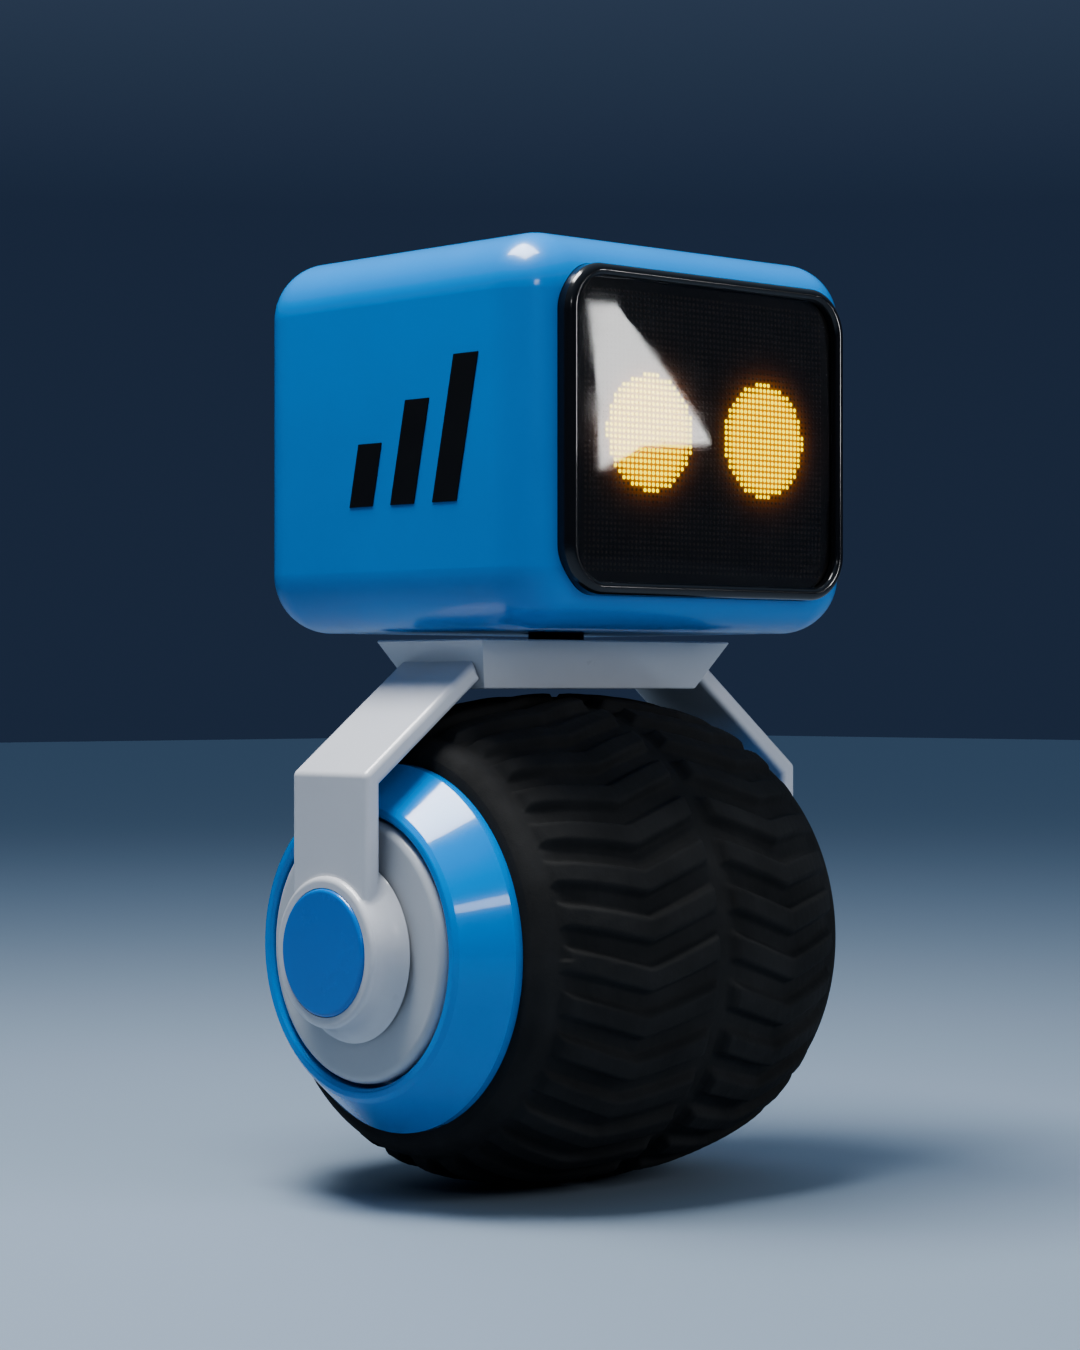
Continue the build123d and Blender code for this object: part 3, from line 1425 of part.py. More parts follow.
# ---------------------------------------------------------------- printed marks on the head's sides
mark_low_z, mark_high_z = 175.0, 211.0
mark_lean = 8.0  # how far the tallest bar's top stands ahead of its foot
mark_width = 9.0
mark_bars = [(-23.0, 1.0), (-7.0, 0.72), (9.0, 0.44)]  # middle of the foot along Y, share of the full height
with BuildPart() as side_marks:
    for side in (-1, 1):
        with BuildSketch(Plane.YZ.offset(side * head_width / 2)):
            for middle, share in mark_bars:
                near, far = middle - mark_width / 2, middle + mark_width / 2
                top_z = mark_low_z + (mark_high_z - mark_low_z) * share
                lean = mark_lean * share
                foot = [(near, mark_low_z), (far, mark_low_z)]
                Polygon(*foot, (far - lean, top_z), (near - lean, top_z), align=None)
        extrude(amount=side * mark_thickness)
save(side_marks, "side_marks")
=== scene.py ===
"""Looks for the one-wheeled coding robot: materials, tread, pixel face, button spring, light and camera.

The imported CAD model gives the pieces' places and outer sizes. Lengths here are in metres, and mm() turns
millimetres into them.
"""

import json
import math

import bpy
import numpy as np
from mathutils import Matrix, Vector


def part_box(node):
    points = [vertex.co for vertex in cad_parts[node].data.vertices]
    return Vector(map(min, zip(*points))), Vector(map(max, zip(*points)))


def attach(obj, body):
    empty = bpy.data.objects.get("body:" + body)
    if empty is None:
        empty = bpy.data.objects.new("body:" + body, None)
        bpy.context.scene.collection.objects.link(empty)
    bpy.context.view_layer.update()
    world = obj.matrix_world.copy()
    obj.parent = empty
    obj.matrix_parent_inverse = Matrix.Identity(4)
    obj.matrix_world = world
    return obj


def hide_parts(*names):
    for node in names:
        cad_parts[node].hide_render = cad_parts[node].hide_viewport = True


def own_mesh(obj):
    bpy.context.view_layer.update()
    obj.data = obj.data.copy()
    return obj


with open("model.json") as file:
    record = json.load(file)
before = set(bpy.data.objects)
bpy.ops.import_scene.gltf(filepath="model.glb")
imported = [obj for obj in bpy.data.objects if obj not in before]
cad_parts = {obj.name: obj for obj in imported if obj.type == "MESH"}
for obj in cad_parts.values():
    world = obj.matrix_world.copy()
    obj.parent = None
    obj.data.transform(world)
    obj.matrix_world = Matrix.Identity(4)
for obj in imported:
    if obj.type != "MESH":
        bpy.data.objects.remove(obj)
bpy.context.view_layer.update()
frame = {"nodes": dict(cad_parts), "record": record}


def mm(value):
    """Millimetres as metres."""
    return value / 1000.0


def middle(node):
    """The middle of a CAD node's box."""
    low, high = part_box(node)
    return tuple((a + b) / 2 for a, b in zip(low, high))


def half_height(node):
    """Half the height of a CAD node's box, which is the radius of a round node on the axle."""
    low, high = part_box(node)
    return (high[2] - low[2]) / 2


def add_object(name, data):
    """A new object in the scene."""
    thing = bpy.data.objects.new(name, data)
    bpy.context.scene.collection.objects.link(thing)
    return thing


# ---------------------------------------------------------------- shader nodes
MIX_FIRST, MIX_SECOND, MIX_RESULT = 6, 7, 2  # the Mix node's colour sockets, whose names aren't unique
NOISE_LOW, NOISE_HIGH = 0.3, 0.7  # most of a noise texture's values lie between these
GLOSS_FINER = 3.1  # how much finer the drift in gloss is than the drift in shade


def map_range(tree, value, low, high, to_low=0.0, to_high=1.0):
    """value mapped from low..high to to_low..to_high, clamped."""
    node = tree.nodes.new("ShaderNodeMapRange")
    node.inputs["From Min"].default_value = low
    node.inputs["From Max"].default_value = high
    node.inputs["To Min"].default_value = to_low
    node.inputs["To Max"].default_value = to_high
    tree.links.new(value, node.inputs["Value"])
    return node.outputs["Result"]


def mix_colours(tree, factor, first, second):
    """A colour that goes from first to second as factor goes from 0 to 1."""
    node = tree.nodes.new("ShaderNodeMix")
    node.data_type = "RGBA"
    node.inputs[MIX_FIRST].default_value = (*first, 1.0)
    node.inputs[MIX_SECOND].default_value = (*second, 1.0)
    tree.links.new(factor, node.inputs["Factor"])
    return node.outputs[MIX_RESULT]


class Surface:
    """A Principled material with object coordinates at hand, and short calls for the usual textures."""

    def __init__(self, name, colour, roughness, **sockets):
        self.material = bpy.data.materials.new(name)
        self.material.use_nodes = True
        self.tree = self.material.node_tree
        self.shader = self.tree.nodes["Principled BSDF"]
        self.colour = colour
        self.roughness = roughness
        self.shader.inputs["Base Color"].default_value = (*colour, 1.0)
        self.shader.inputs["Roughness"].default_value = roughness
        for socket, value in sockets.items():
            self.shader.inputs[socket.replace("_", " ")].default_value = value
        self.place = self.tree.nodes.new("ShaderNodeTexCoord").outputs["Object"]
        self.normal = None

    def link(self, output, socket):
        self.tree.links.new(output, self.shader.inputs[socket])

    def stretched(self, x, y, z):
        """The object coordinates scaled along each axis, for drawn lines."""
        node = self.tree.nodes.new("ShaderNodeMapping")
        node.inputs["Scale"].default_value = (x, y, z)
        self.tree.links.new(self.place, node.inputs["Vector"])
        return node.outputs["Vector"]

    def noise(self, per_metre, detail=3.0, roughness=0.5, vector=None):
        node = self.tree.nodes.new("ShaderNodeTexNoise")
        node.inputs["Scale"].default_value = per_metre
        node.inputs["Detail"].default_value = detail
        node.inputs["Roughness"].default_value = roughness
        self.tree.links.new(vector or self.place, node.inputs["Vector"])
        return node.outputs["Fac"]

    def span(self, noise, to_low, to_high, low=NOISE_LOW, high=NOISE_HIGH):
        """A noise spread over to_low..to_high."""
        return map_range(self.tree, noise, low, high, to_low, to_high)

    def math(self, operation, first, second=0.0):
        """One step of arithmetic on numbers or outputs."""
        node = self.tree.nodes.new("ShaderNodeMath")
        node.operation = operation
        for socket, value in zip(node.inputs, (first, second)):
            if isinstance(value, (int, float)):
                socket.default_value = value
            else:
                self.tree.links.new(value, socket)
        return node.outputs["Value"]

    def bump(self, height, strength, depth):
        """Adds a bump of that depth in metres on top of any earlier one."""
        node = self.tree.nodes.new("ShaderNodeBump")
        node.inputs["Strength"].default_value = strength
        node.inputs["Distance"].default_value = depth
        self.tree.links.new(height, node.inputs["Height"])
        if self.normal:
            self.tree.links.new(self.normal, node.inputs["Normal"])
        self.normal = node.outputs["Normal"]
        self.link(self.normal, "Normal")

    def mottle(self, per_metre, amount, roughness_amount):
        """A slow drift of shade and gloss, such as moulding and handling leave."""
        dark = [c * (1 - amount) for c in self.colour]
        light = [min(1.0, c * (1 + amount)) for c in self.colour]
        drift = self.span(self.noise(per_metre, detail=4.0), 0, 1)
        self.link(mix_colours(self.tree, drift, dark, light), "Base Color")
        uneven = self.noise(per_metre * GLOSS_FINER, detail=5.0, roughness=0.6)
        smoothest = self.roughness - roughness_amount
        roughest = self.roughness + roughness_amount
        self.link(self.span(uneven, smoothest, roughest), "Roughness")


# ---------------------------------------------------------------- materials
def gloss_plastic(name, colour, roughness, coat, coat_roughness=0.06, peel=0.1225):
    """Moulded gloss plastic under a clear coat with a faint orange peel."""
    surface = Surface(
        name,
        colour,
        roughness,
        Coat_Weight=coat,
        Coat_Roughness=coat_roughness,
        Specular_IOR_Level=0.3,
    )
    surface.mottle(per_metre=28.0, amount=0.03, roughness_amount=0.03)
    surface.bump(surface.noise(700.0, detail=1.0), strength=peel, depth=mm(0.02))
    return surface


def matte_plastic(name, colour, roughness=0.55, grain=0.5):
    """Moulded plastic with a fine spark-eroded grain."""
    surface = Surface(name, colour, roughness)
    surface.mottle(per_metre=40.0, amount=0.10, roughness_amount=0.08)
    surface.bump(surface.noise(3400.0, detail=3.0, roughness=0.65), strength=grain, depth=mm(0.03))
    return surface


def metal(name, colour, roughness):
    """Drawn or turned metal with fine lines along X, the axle's line."""
    surface = Surface(name, colour, roughness, Metallic=1.0)
    surface.mottle(per_metre=60.0, amount=0.08, roughness_amount=0.08)
    lines = surface.noise(260.0, detail=4.0, roughness=0.6, vector=surface.stretched(1.0, 14.0, 14.0))
    surface.bump(lines, strength=0.25, depth=mm(0.02))
    return surface


def tyre_rubber():
    """Matte black rubber of uneven shade, with a coarse and a fine pitted grain."""
    surface = Surface("tyre rubber", (0.020, 0.020, 0.020), 0.82, Specular_IOR_Level=0.22)
    surface.mottle(per_metre=55.0, amount=0.25, roughness_amount=0.07)
    surface.bump(surface.noise(420.0, detail=6.0, roughness=0.7), strength=0.55, depth=mm(0.35))
    surface.bump(surface.noise(2400.0, detail=4.0, roughness=0.7), strength=0.5, depth=mm(0.08))
    return surface


def screen_glass():
    """Dark clear cover glass with a faint waviness."""
    surface = Surface(
        "screen glass",
        (0.62, 0.62, 0.64),
        0.03,
        Transmission_Weight=1.0,
        IOR=1.47,
        Specular_IOR_Level=0.6,
    )
    surface.link(surface.span(surface.noise(90.0, detail=4.0), 0.02, 0.06), "Roughness")
    surface.bump(surface.noise(60.0, detail=1.0), strength=0.06, depth=mm(0.05))
    return surface


def lit_pixel():
    """A lit diode: hot yellow, a little deeper here and there."""
    surface = Surface("lit pixel", (0.9, 0.5, 0.08), 0.4, Emission_Strength=3.7)
    drift = surface.span(surface.noise(700.0, detail=1.0), 0, 1, low=0.35, high=0.65)
    surface.link(mix_colours(surface.tree, drift, (1.0, 0.78, 0.0), (1.0, 0.84, 0.0)), "Emission Color")
    return surface


def unlit_pixel():
    """A dark diode: brown, of uneven shade."""
    surface = Surface("unlit pixel", (0.070, 0.046, 0.026), 0.35)
    surface.mottle(per_metre=240.0, amount=0.5, roughness_amount=0.1)
    return surface


# the face's pixels, which the panel's glow needs too
PIXEL_PITCH = mm(1.42)
EYE_PIXELS = 21  # an eye's columns, and its rows
EYE_INNER_PIXELS = 4.5  # from the face's middle to an eye's first column
EYE_RADIUS = mm(14.95)
# painted glow: the black panel emits this orange light in and round each eye, in place of the light the lit
# diodes spill onto it
HALO_COLOUR = (1.0, 0.27, 0.0)
GLOW_COLOUR = (1.0, 0.42, 0.0)
GLOW_STRENGTH = 1.25
GLOW_AT_EDGE = 0.22  # the glow's share of its full strength at an eye's edge
GLOW_FALL = mm(2.0)  # outwards, the glow falls by a factor e in this distance

screen_z = middle("eye_pixels")[2]
eye_x = (EYE_INNER_PIXELS + (EYE_PIXELS - 1) / 2) * PIXEL_PITCH


def screen_panel():
    """The LED panel behind the glass: black, with a painted glow in its emission, amber in the eyes and an
    orange halo round each, standing in for the lit diodes' light spilling onto it.
    """
    surface = Surface("led panel", (0.010, 0.007, 0.004), 0.55)
    surface.mottle(per_metre=300.0, amount=0.2, roughness_amount=0.1)
    split = surface.tree.nodes.new("ShaderNodeSeparateXYZ")
    surface.tree.links.new(surface.place, split.inputs["Vector"])
    glow = 0.0
    for x in (-eye_x, eye_x):
        across = surface.math("SUBTRACT", split.outputs["X"], x)
        up = surface.math("SUBTRACT", split.outputs["Z"], screen_z)
        across_squared = surface.math("MULTIPLY", across, across)
        up_squared = surface.math("MULTIPLY", up, up)
        from_middle = surface.math("SQRT", surface.math("ADD", across_squared, up_squared))
        from_edge = surface.math("SUBTRACT", from_middle, EYE_RADIUS)
        fall = surface.math("EXPONENT", surface.math("MULTIPLY", from_edge, -1.0 / GLOW_FALL))
        eye_glow = surface.math("MINIMUM", surface.math("MULTIPLY", fall, GLOW_AT_EDGE), 1.0)
        glow = surface.math("ADD", eye_glow, glow)
    surface.link(surface.math("MULTIPLY", glow, GLOW_STRENGTH), "Emission Strength")
    surface.link(mix_colours(surface.tree, glow, HALO_COLOUR, GLOW_COLOUR), "Emission Color")
    return surface


# after the colour come the roughness and, for gloss plastic, the coat's weight and its roughness
finishes = {
    "head_blue": gloss_plastic("head blue", (0.010, 0.205, 0.560), 0.32, 0.55, 0.10, peel=0.042),
    "rim_blue": gloss_plastic("rim blue", (0.004, 0.225, 0.62), 0.18, 0.5, 0.04, peel=0.07),
    "cap_blue": gloss_plastic("cap blue", (0.008, 0.165, 0.53), 0.26, 0.6, 0.10),
    "bezel_black": gloss_plastic("bezel black", (0.008, 0.008, 0.009), 0.2, 0.6, 0.05, peel=0.042),
    "mark_black": gloss_plastic("printed mark", (0.004, 0.004, 0.005), 0.5, 0.0, 0.2),
    "fork_grey": gloss_plastic("fork grey", (0.56, 0.57, 0.60), 0.30, 0.45, 0.14),
    "disc_grey": gloss_plastic("disc grey", (0.47, 0.49, 0.52), 0.36, 0.35, 0.2),
    "inner_plastic": matte_plastic("inner plastic", (0.06, 0.065, 0.07)),
    "button_grey": matte_plastic("button grey", (0.42, 0.44, 0.47), 0.4),
    "gear_white": matte_plastic("acetal gear", (0.78, 0.77, 0.72), 0.42, grain=0.2),
    "speaker_black": matte_plastic("speaker cone", (0.02, 0.02, 0.022), 0.8),
    "servo_black": matte_plastic("servo case", (0.02, 0.025, 0.05), 0.4),
    "foam_grey": matte_plastic("foam", (0.10, 0.10, 0.11), 0.95, grain=1.0),
    "cable_black": matte_plastic("cable sheath", (0.02, 0.02, 0.02), 0.6),
    "ribbon_grey": matte_plastic("ribbon cable", (0.40, 0.41, 0.43), 0.5, grain=0.2),
    "board_green": matte_plastic("circuit board", (0.012, 0.09, 0.04), 0.35, grain=0.2),
    "cell_wrap": gloss_plastic("cell wrap", (0.05, 0.20, 0.32), 0.3, 0.4, 0.2),
    "steel": metal("steel", (0.56, 0.57, 0.58), 0.3),
    "motor_steel": metal("motor can", (0.48, 0.49, 0.50), 0.35),
    "axle_aluminium": metal("turned aluminium", (0.70, 0.71, 0.73), 0.28),
    "gear_brass": metal("brass", (0.75, 0.52, 0.22), 0.3),
    "tyre_black": tyre_rubber(),
    "panel_black": screen_panel(),
    "screen_glass": screen_glass(),
    "pixel_yellow": lit_pixel(),
}

for part in frame["record"]["subparts"]:
    materials = frame["nodes"][part["node"]].data.materials
    materials.clear()
    materials.append(finishes[part["material_slot"]].material)


def make_piece(name, vertices, faces, body, slot, surface=None):
    """A new smooth mesh that rides on a body, with its slot's finish or a surface of its own."""
    mesh = bpy.data.meshes.new(name)
    mesh.from_pydata(vertices, [], faces)
    mesh.validate()
    mesh.materials.append((surface or finishes[slot]).material)
    mesh.shade_smooth()
    piece = add_object(name, mesh)
    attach(piece, body)
    return piece


# ---------------------------------------------------------------- tyre with its tread
LUGS = 32
LUG_PITCH = 2 * math.pi / LUGS
STEPS_PER_LUG = 24
SAMPLES_PER_HALF = 84  # across the tyre, from its middle to a bead
TREAD_HEIGHT = mm(2.5)
CENTRE_GROOVE = mm(3.2)  # half its width
APEX_X = mm(25.0)
OUTER_X = mm(47.5)
INNER_WIDTH = APEX_X - CENTRE_GROOVE
OUTER_WIDTH = OUTER_X - APEX_X
INNER_RISE = math.radians(6.5)
OUTER_RISE = math.radians(5.3)
LUG_HALF = math.radians(3.0)
LUG_EDGE = mm(2.0)  # the width of a lug's rounded flank
LUG_SHIFT = math.radians(0.22)  # how far a lug may lie from its even place
LUG_SHIFT_WAVE = 12.9898  # these three waves make each lug differ from the next
SIDE_SHIFT_WAVE = 4.1
LUG_LENGTH_WAVE = 7.31
LUG_LENGTH_SPREAD = mm(0.9)
SHOULDER_LIFT = 0.75  # the share of their full height that the lugs fall to at the shoulder
SHOULDER_OVER = mm(3.0)  # where that fall ends, beyond the lugs' outer ends
SHOULDER_WIDTH = mm(8.0)  # over which the lugs fall
TREAD_FADE = mm(9.0)  # the grooves run out over this width next to the bead
MOULDING_DEPTH = mm(0.16)
MOULDING_WAVES = ((37, 900), (-23, 1400))  # each in radians per radian round, and per metre across
CROWN_POWER = 2.1
CROWN_OVER = mm(0.6)  # the barrel's curve comes down to the bead's radius this far beyond the bead
BEAD_TUCK = mm(0.15)  # the bead is this much lower than the rim's lip

axle_z = middle("tyre")[2]
bead_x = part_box("tyre")[1][0]
tread_radius = half_height("tyre")
bead_radius = half_height("rim_left") - BEAD_TUCK
drum_radius = half_height("rim_drum")


def tread_profile(x):
    """Radius over the lugs at x: a barrel that falls to the bead."""
    share = np.clip(np.abs(x) / (bead_x + CROWN_OVER), 0, 1)
    return bead_radius + (tread_radius - bead_radius) * (1 - share**CROWN_POWER) ** (1 / CROWN_POWER)


def smooth_step(value):
    """0 below 0, 1 above 1, and an even S between them."""
    value = np.clip(value, 0, 1)
    return value * value * (3 - 2 * value)


def lug_lift(angle, x, radius):
    """1 on a lug's top and 0 between lugs, which are V-shaped and lie in two mirrored rows."""
    distance = np.abs(x)
    # the V's line rises on both sides of its point, and the first lug's is half a pitch up from the front
    inward = np.clip((APEX_X - distance) / INNER_WIDTH, 0, None)
    outward = np.clip((distance - APEX_X) / OUTER_WIDTH, 0, None)
    past_line = angle - LUG_PITCH / 2 - (INNER_RISE * inward + OUTER_RISE * outward)
    lug = np.round(past_line / LUG_PITCH)
    shift = np.sin(lug * LUG_SHIFT_WAVE + np.sign(x) * SIDE_SHIFT_WAVE) * LUG_SHIFT
    off_line = np.abs(past_line - shift - lug * LUG_PITCH)
    # how far inside the lug's edge, measured square to its slanted line
    slope = np.where(distance < APEX_X, INNER_RISE / INNER_WIDTH, OUTER_RISE / OUTER_WIDTH)
    inside = (LUG_HALF - off_line) * radius * np.cos(np.arctan(slope * radius))
    outer_end = OUTER_X + LUG_LENGTH_SPREAD * np.sin(lug * LUG_LENGTH_WAVE)
    inside = np.minimum(inside, distance - CENTRE_GROOVE)
    inside = np.minimum(inside, outer_end - distance)
    return smooth_step(0.5 + inside / LUG_EDGE)


def moulding(angle, x):
    """Shallow irregular waves in the rubber, from 0 to 1."""
    first, second = (np.sin(angle * round_rate + x * across) for round_rate, across in MOULDING_WAVES)
    return (1 + first * second) / 2


def tread_radius_at(angle, x):
    """Radius of the finished tread, with its lugs, shoulders and moulding."""
    distance = np.abs(x)
    radius = tread_profile(x)
    fade = smooth_step((bead_x - distance) / TREAD_FADE)
    to_shoulder = smooth_step((OUTER_X + SHOULDER_OVER - distance) / SHOULDER_WIDTH)
    shoulder = SHOULDER_LIFT + (1 - SHOULDER_LIFT) * to_shoulder
    groove = TREAD_HEIGHT * (1 - lug_lift(angle, x, radius) * shoulder) * fade
    return radius - groove - MOULDING_DEPTH * fade * moulding(angle, x)


def build_tyre():
    """The tyre's outside as one skin; angle 0 faces the front, and angles grow upwards there."""
    turns = np.linspace(0, 2 * math.pi, LUGS * STEPS_PER_LUG, endpoint=False)
    half = bead_x * np.sin(np.linspace(0, math.pi / 2, SAMPLES_PER_HALF))
    across = np.concatenate([-half[:0:-1], half])
    angle, x = np.meshgrid(turns, across, indexing="ij")
    radius = tread_radius_at(angle, x)
    skin = np.stack([x, -radius * np.cos(angle), axle_z + radius * np.sin(angle)], axis=-1)
    vertices = skin.reshape(-1, 3).tolist()
    count_turn, count_across = angle.shape
    rows = np.arange(count_turn)[:, None]
    cols = np.arange(count_across - 1)[None, :]
    here = rows * count_across + cols
    there = ((rows + 1) % count_turn) * count_across + cols
    faces = np.stack([here, there, there + 1, here + 1], axis=-1).reshape(-1, 4).tolist()
    # close each end with a ring down to the drum, under the rim's flange
    for column, side in ((0, -1), (count_across - 1, 1)):
        start = len(vertices)
        for turn in turns:
            y = -drum_radius * math.cos(turn)
            z = axle_z + drum_radius * math.sin(turn)
            vertices.append((side * bead_x, y, z))
        for k in range(count_turn):
            n = (k + 1) % count_turn
            quad = [k * count_across + column, n * count_across + column, start + n, start + k]
            faces.append(quad if side > 0 else quad[::-1])
    return vertices, faces


tyre = make_piece("tyre_tread", *build_tyre(), "wheel", "tyre_black")
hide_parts("tyre")

# ---------------------------------------------------------------- pixel face
DOT_SIDES = 8
DOT_RINGS = ((1.0, 0.0), (0.72, 0.7))  # shares of a dot's radius, and of its height
DOT_HEIGHT = mm(0.15)
LIT_DOT = mm(0.53)
UNLIT_DOT = mm(0.40)
EYE_MIDDLE_COLUMN = 10.25
EYE_MIDDLE_ROW = 10
EYE_HALF_WIDTH = 10.35  # in pixels, like the next
EYE_HALF_HEIGHT = 10.2
SIDE_MARGIN = mm(2.5)  # the pixels stay this far inside the panel's sides
TOP_MARGIN = mm(2.0)


def pixel_lit(column, row):
    """Whether a pixel of an eye's square block, with columns counted inwards, belongs to the round eye."""
    across = (column - EYE_MIDDLE_COLUMN) / EYE_HALF_WIDTH
    up = (row - EYE_MIDDLE_ROW) / EYE_HALF_HEIGHT
    return across**2 + up**2 <= 1


def dots(spots, radius):
    """Small domes on the panel, facing the front; a spot is in pixels from the face's middle."""
    vertices, faces = [], []
    for column, row in sorted(spots):
        x = column * PIXEL_PITCH
        z = screen_z + row * PIXEL_PITCH
        start = len(vertices)
        for share, rise in DOT_RINGS:
            y = panel_y - rise * DOT_HEIGHT
            for k in range(DOT_SIDES):
                turn = 2 * math.pi * k / DOT_SIDES
                vertices.append((x + share * radius * math.cos(turn), y, z + share * radius * math.sin(turn)))
        vertices.append((x, panel_y - DOT_HEIGHT, z))
        for k in range(DOT_SIDES):
            n = (k + 1) % DOT_SIDES
            faces.append((start + k, start + n, start + DOT_SIDES + n, start + DOT_SIDES + k))
            faces.append((start + DOT_SIDES + k, start + DOT_SIDES + n, start + 2 * DOT_SIDES))
    return vertices, faces


lit_spots = {
    (side * (EYE_INNER_PIXELS + EYE_PIXELS - 1 - column), row - EYE_MIDDLE_ROW)
    for side in (-1, 1)
    for column in range(EYE_PIXELS)
    for row in range(EYE_PIXELS)
    if pixel_lit(column, row)
}

panel_low, panel_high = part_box("led_panel")
panel_y = panel_low[1]
half_columns = int((panel_high[0] - SIDE_MARGIN) / PIXEL_PITCH)
half_rows = int((panel_high[2] - screen_z - TOP_MARGIN) / PIXEL_PITCH)
all_spots = {
    (side * (column + 0.5), row)
    for side in (-1, 1)
    for column in range(half_columns)
    for row in range(-half_rows, half_rows + 1)
}

eyes = make_piece("eyes_lit", *dots(lit_spots, LIT_DOT), "head", "pixel_yellow")
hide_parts("eye_pixels")
make_piece("pixels_unlit", *dots(all_spots - lit_spots, UNLIT_DOT), "head", "panel_black", unlit_pixel())

# ---------------------------------------------------------------- button spring
COIL_TURNS = 5
COIL_STEPS = 32  # in each turn
WIRE_RADIUS = mm(0.25)
WIRE_SIDES = 8

spring_low, spring_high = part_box("button_spring")


def build_coil():
    """The button's spring: a round wire wound along Y that fills its node's box."""
    middle_x, _, middle_z = middle("button_spring")
    coil_radius = (spring_high[0] - spring_low[0]) / 2 - WIRE_RADIUS
    start_y = spring_low[1] + WIRE_RADIUS
    rise = (spring_high[1] - spring_low[1] - 2 * WIRE_RADIUS) / (COIL_TURNS * COIL_STEPS)
    vertices, faces = [], []
    for step in range(COIL_TURNS * COIL_STEPS + 1):
        turn = 2 * math.pi * step / COIL_STEPS
        for side in range(WIRE_SIDES):
            around = 2 * math.pi * side / WIRE_SIDES
            reach = coil_radius + WIRE_RADIUS * math.cos(around)
            y = start_y + rise * step + WIRE_RADIUS * math.sin(around)
            vertices.append((middle_x + reach * math.cos(turn), y, middle_z + reach * math.sin(turn)))
            if step:
                here = len(vertices) - 1
                following = here - side + (side + 1) % WIRE_SIDES
                faces.append((here, here - WIRE_SIDES, following - WIRE_SIDES, following))
    last = len(vertices) - 1
    faces.append(tuple(range(WIRE_SIDES)))
    faces.append(tuple(range(last, last - WIRE_SIDES, -1)))
    return vertices, faces


coil = make_piece("button_coil", *build_coil(), "power_button", "steel")
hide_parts("button_spring")
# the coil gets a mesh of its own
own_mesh(coil)

# ---------------------------------------------------------------- floor and world
FLOOR_HALF = 6.0
WORLD_LOW = (0.022, 0.034, 0.064)
WORLD_HIGH = (0.22, 0.32, 0.44)
WORLD_LOW_UP_TO = 0.15  # heights on a sphere of radius 1 between which the world grows paler
WORLD_HIGH_FROM = 0.95


def flat_sheet(name, corners, surface):
    """One flat face with those corners."""
    mesh = bpy.data.meshes.new(name)
    mesh.from_pydata(corners, [], [tuple(range(len(corners)))])
    mesh.materials.append(surface.material)
    return add_object(name, mesh)


floor_surface = Surface("floor", (0.23, 0.285, 0.355), 0.6)
floor_surface.bump(floor_surface.noise(40.0, detail=3.0), strength=0.05, depth=mm(0.2))
floor_corners = [(x * FLOOR_HALF, y * FLOOR_HALF, 0) for x, y in ((-1, -1), (1, -1), (1, 1), (-1, 1))]
floor = flat_sheet("floor", floor_corners, floor_surface)


def build_world():
    """Soft light from all round: dark blue low down and paler overhead."""
    world = bpy.data.worlds.new("studio")
    world.use_nodes = True
    tree = world.node_tree
    direction = tree.nodes.new("ShaderNodeTexCoord").outputs["Generated"]
    split = tree.nodes.new("ShaderNodeSeparateXYZ")
    tree.links.new(direction, split.inputs["Vector"])
    height = map_range(tree, split.outputs["Z"], WORLD_LOW_UP_TO, WORLD_HIGH_FROM)
    sky = mix_colours(tree, height, WORLD_LOW, WORLD_HIGH)
    tree.links.new(sky, tree.nodes["Background"].inputs["Color"])
    return world


bpy.context.scene.world = build_world()

# ---------------------------------------------------------------- lights
BODY_MIDDLE = (0.0, 0.0, 0.13)
WHEEL_SIDE = (-0.06, -0.04, 0.08)
WHITE = (1.0, 1.0, 1.0)
WARM = (1.0, 0.985, 0.96)
COOL = (0.85, 0.92, 1.0)
BLACK = (0.0, 0.0, 0.0)


def aim(thing, place, target):
    """Puts a light or the camera at place, looking at target."""
    thing.location = place
    direction = [t - p for t, p in zip(target, place)]
    thing.rotation_euler = Vector(direction).to_track_quat("-Z", "Y").to_euler()


def softbox(name, place, target, width, height, power, colour=WHITE, reflected=True):
    """A rectangular light of that many watts, which may or may not show as a reflection."""
    light = bpy.data.lights.new(name, "AREA")
    light.shape = "RECTANGLE"
    light.size = width
    light.size_y = height
    light.energy = power
    light.color = colour
    lamp = add_object(name, light)
    lamp.visible_glossy = reflected
    aim(lamp, place, target)


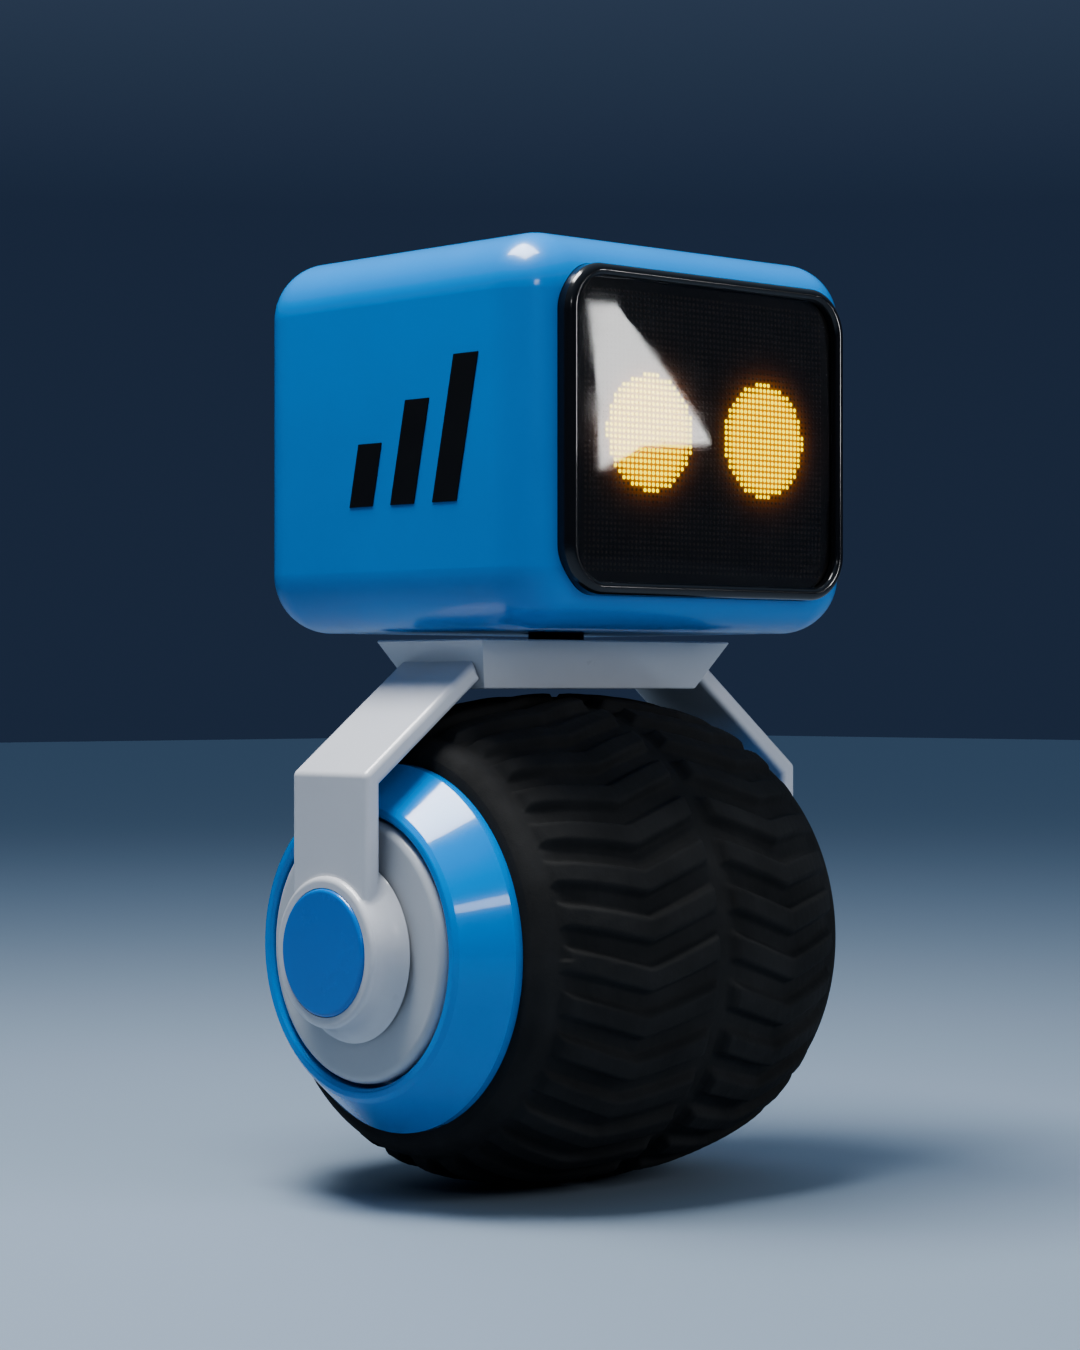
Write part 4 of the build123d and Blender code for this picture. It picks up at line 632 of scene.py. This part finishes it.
softbox("overhead", (-0.20, 0.04, 0.86), BODY_MIDDLE, width=0.44, height=0.30, power=11.2, colour=WARM)
softbox("low_left", (-0.72, -0.86, 0.56), WHEEL_SIDE, width=0.17, height=0.10, power=0.55)
softbox("front_fill", (0.35, -1.30, 0.60), BODY_MIDDLE, width=0.8, height=0.6, power=6.5, reflected=False)
softbox(
    "back_fill",
    (0.50, 0.95, 1.25),
    BODY_MIDDLE,
    width=1.0,
    height=1.0,
    power=2.5,
    colour=COOL,
    reflected=False,
)

# a bright sheet that faces the screen, for the reflection there; the camera never sees it directly
KEY_PLACE = (0.70, -0.88, 0.32)
KEY_STRENGTH = 18.0
KEY_OUTLINE = (  # across and up: a narrow top, a slanted side, a blunt tip and a lower edge with a bend
    (-0.080, 0.105),
    (-0.040, 0.105),
    (0.085, -0.030),
    (0.100, -0.050),
    (-0.010, -0.055),
    (-0.080, -0.085),
)

key_surface = Surface("screen_key", BLACK, 0.5, Emission_Color=(*WHITE, 1.0), Emission_Strength=KEY_STRENGTH)
sheet = flat_sheet("screen_key", [(across, up, 0) for across, up in KEY_OUTLINE], key_surface)
aim(sheet, KEY_PLACE, middle("display_glass"))
sheet.visible_camera = False
sheet.visible_transmission = False

# ---------------------------------------------------------------- camera
SENSOR_WIDTH = 36.0  # millimetres, like the focal length
FOCAL_LENGTH = 84.74
NEAREST_SEEN = 0.02
CAMERA_PLACE = (-0.57095, -0.61134, 0.12878)
YAW = math.radians(42.754)
TILT = math.radians(0.271)

camera_data = bpy.data.cameras.new("camera")
camera_data.sensor_width = SENSOR_WIDTH
camera_data.lens = FOCAL_LENGTH
camera_data.clip_start = NEAREST_SEEN
camera = add_object("camera", camera_data)
camera_target = (
    CAMERA_PLACE[0] + math.sin(YAW) * math.cos(TILT),
    CAMERA_PLACE[1] + math.cos(YAW) * math.cos(TILT),
    CAMERA_PLACE[2] + math.sin(TILT),
)
aim(camera, CAMERA_PLACE, camera_target)
bpy.context.scene.camera = camera
bpy.context.scene.view_settings.look = "AgX - Medium High Contrast"
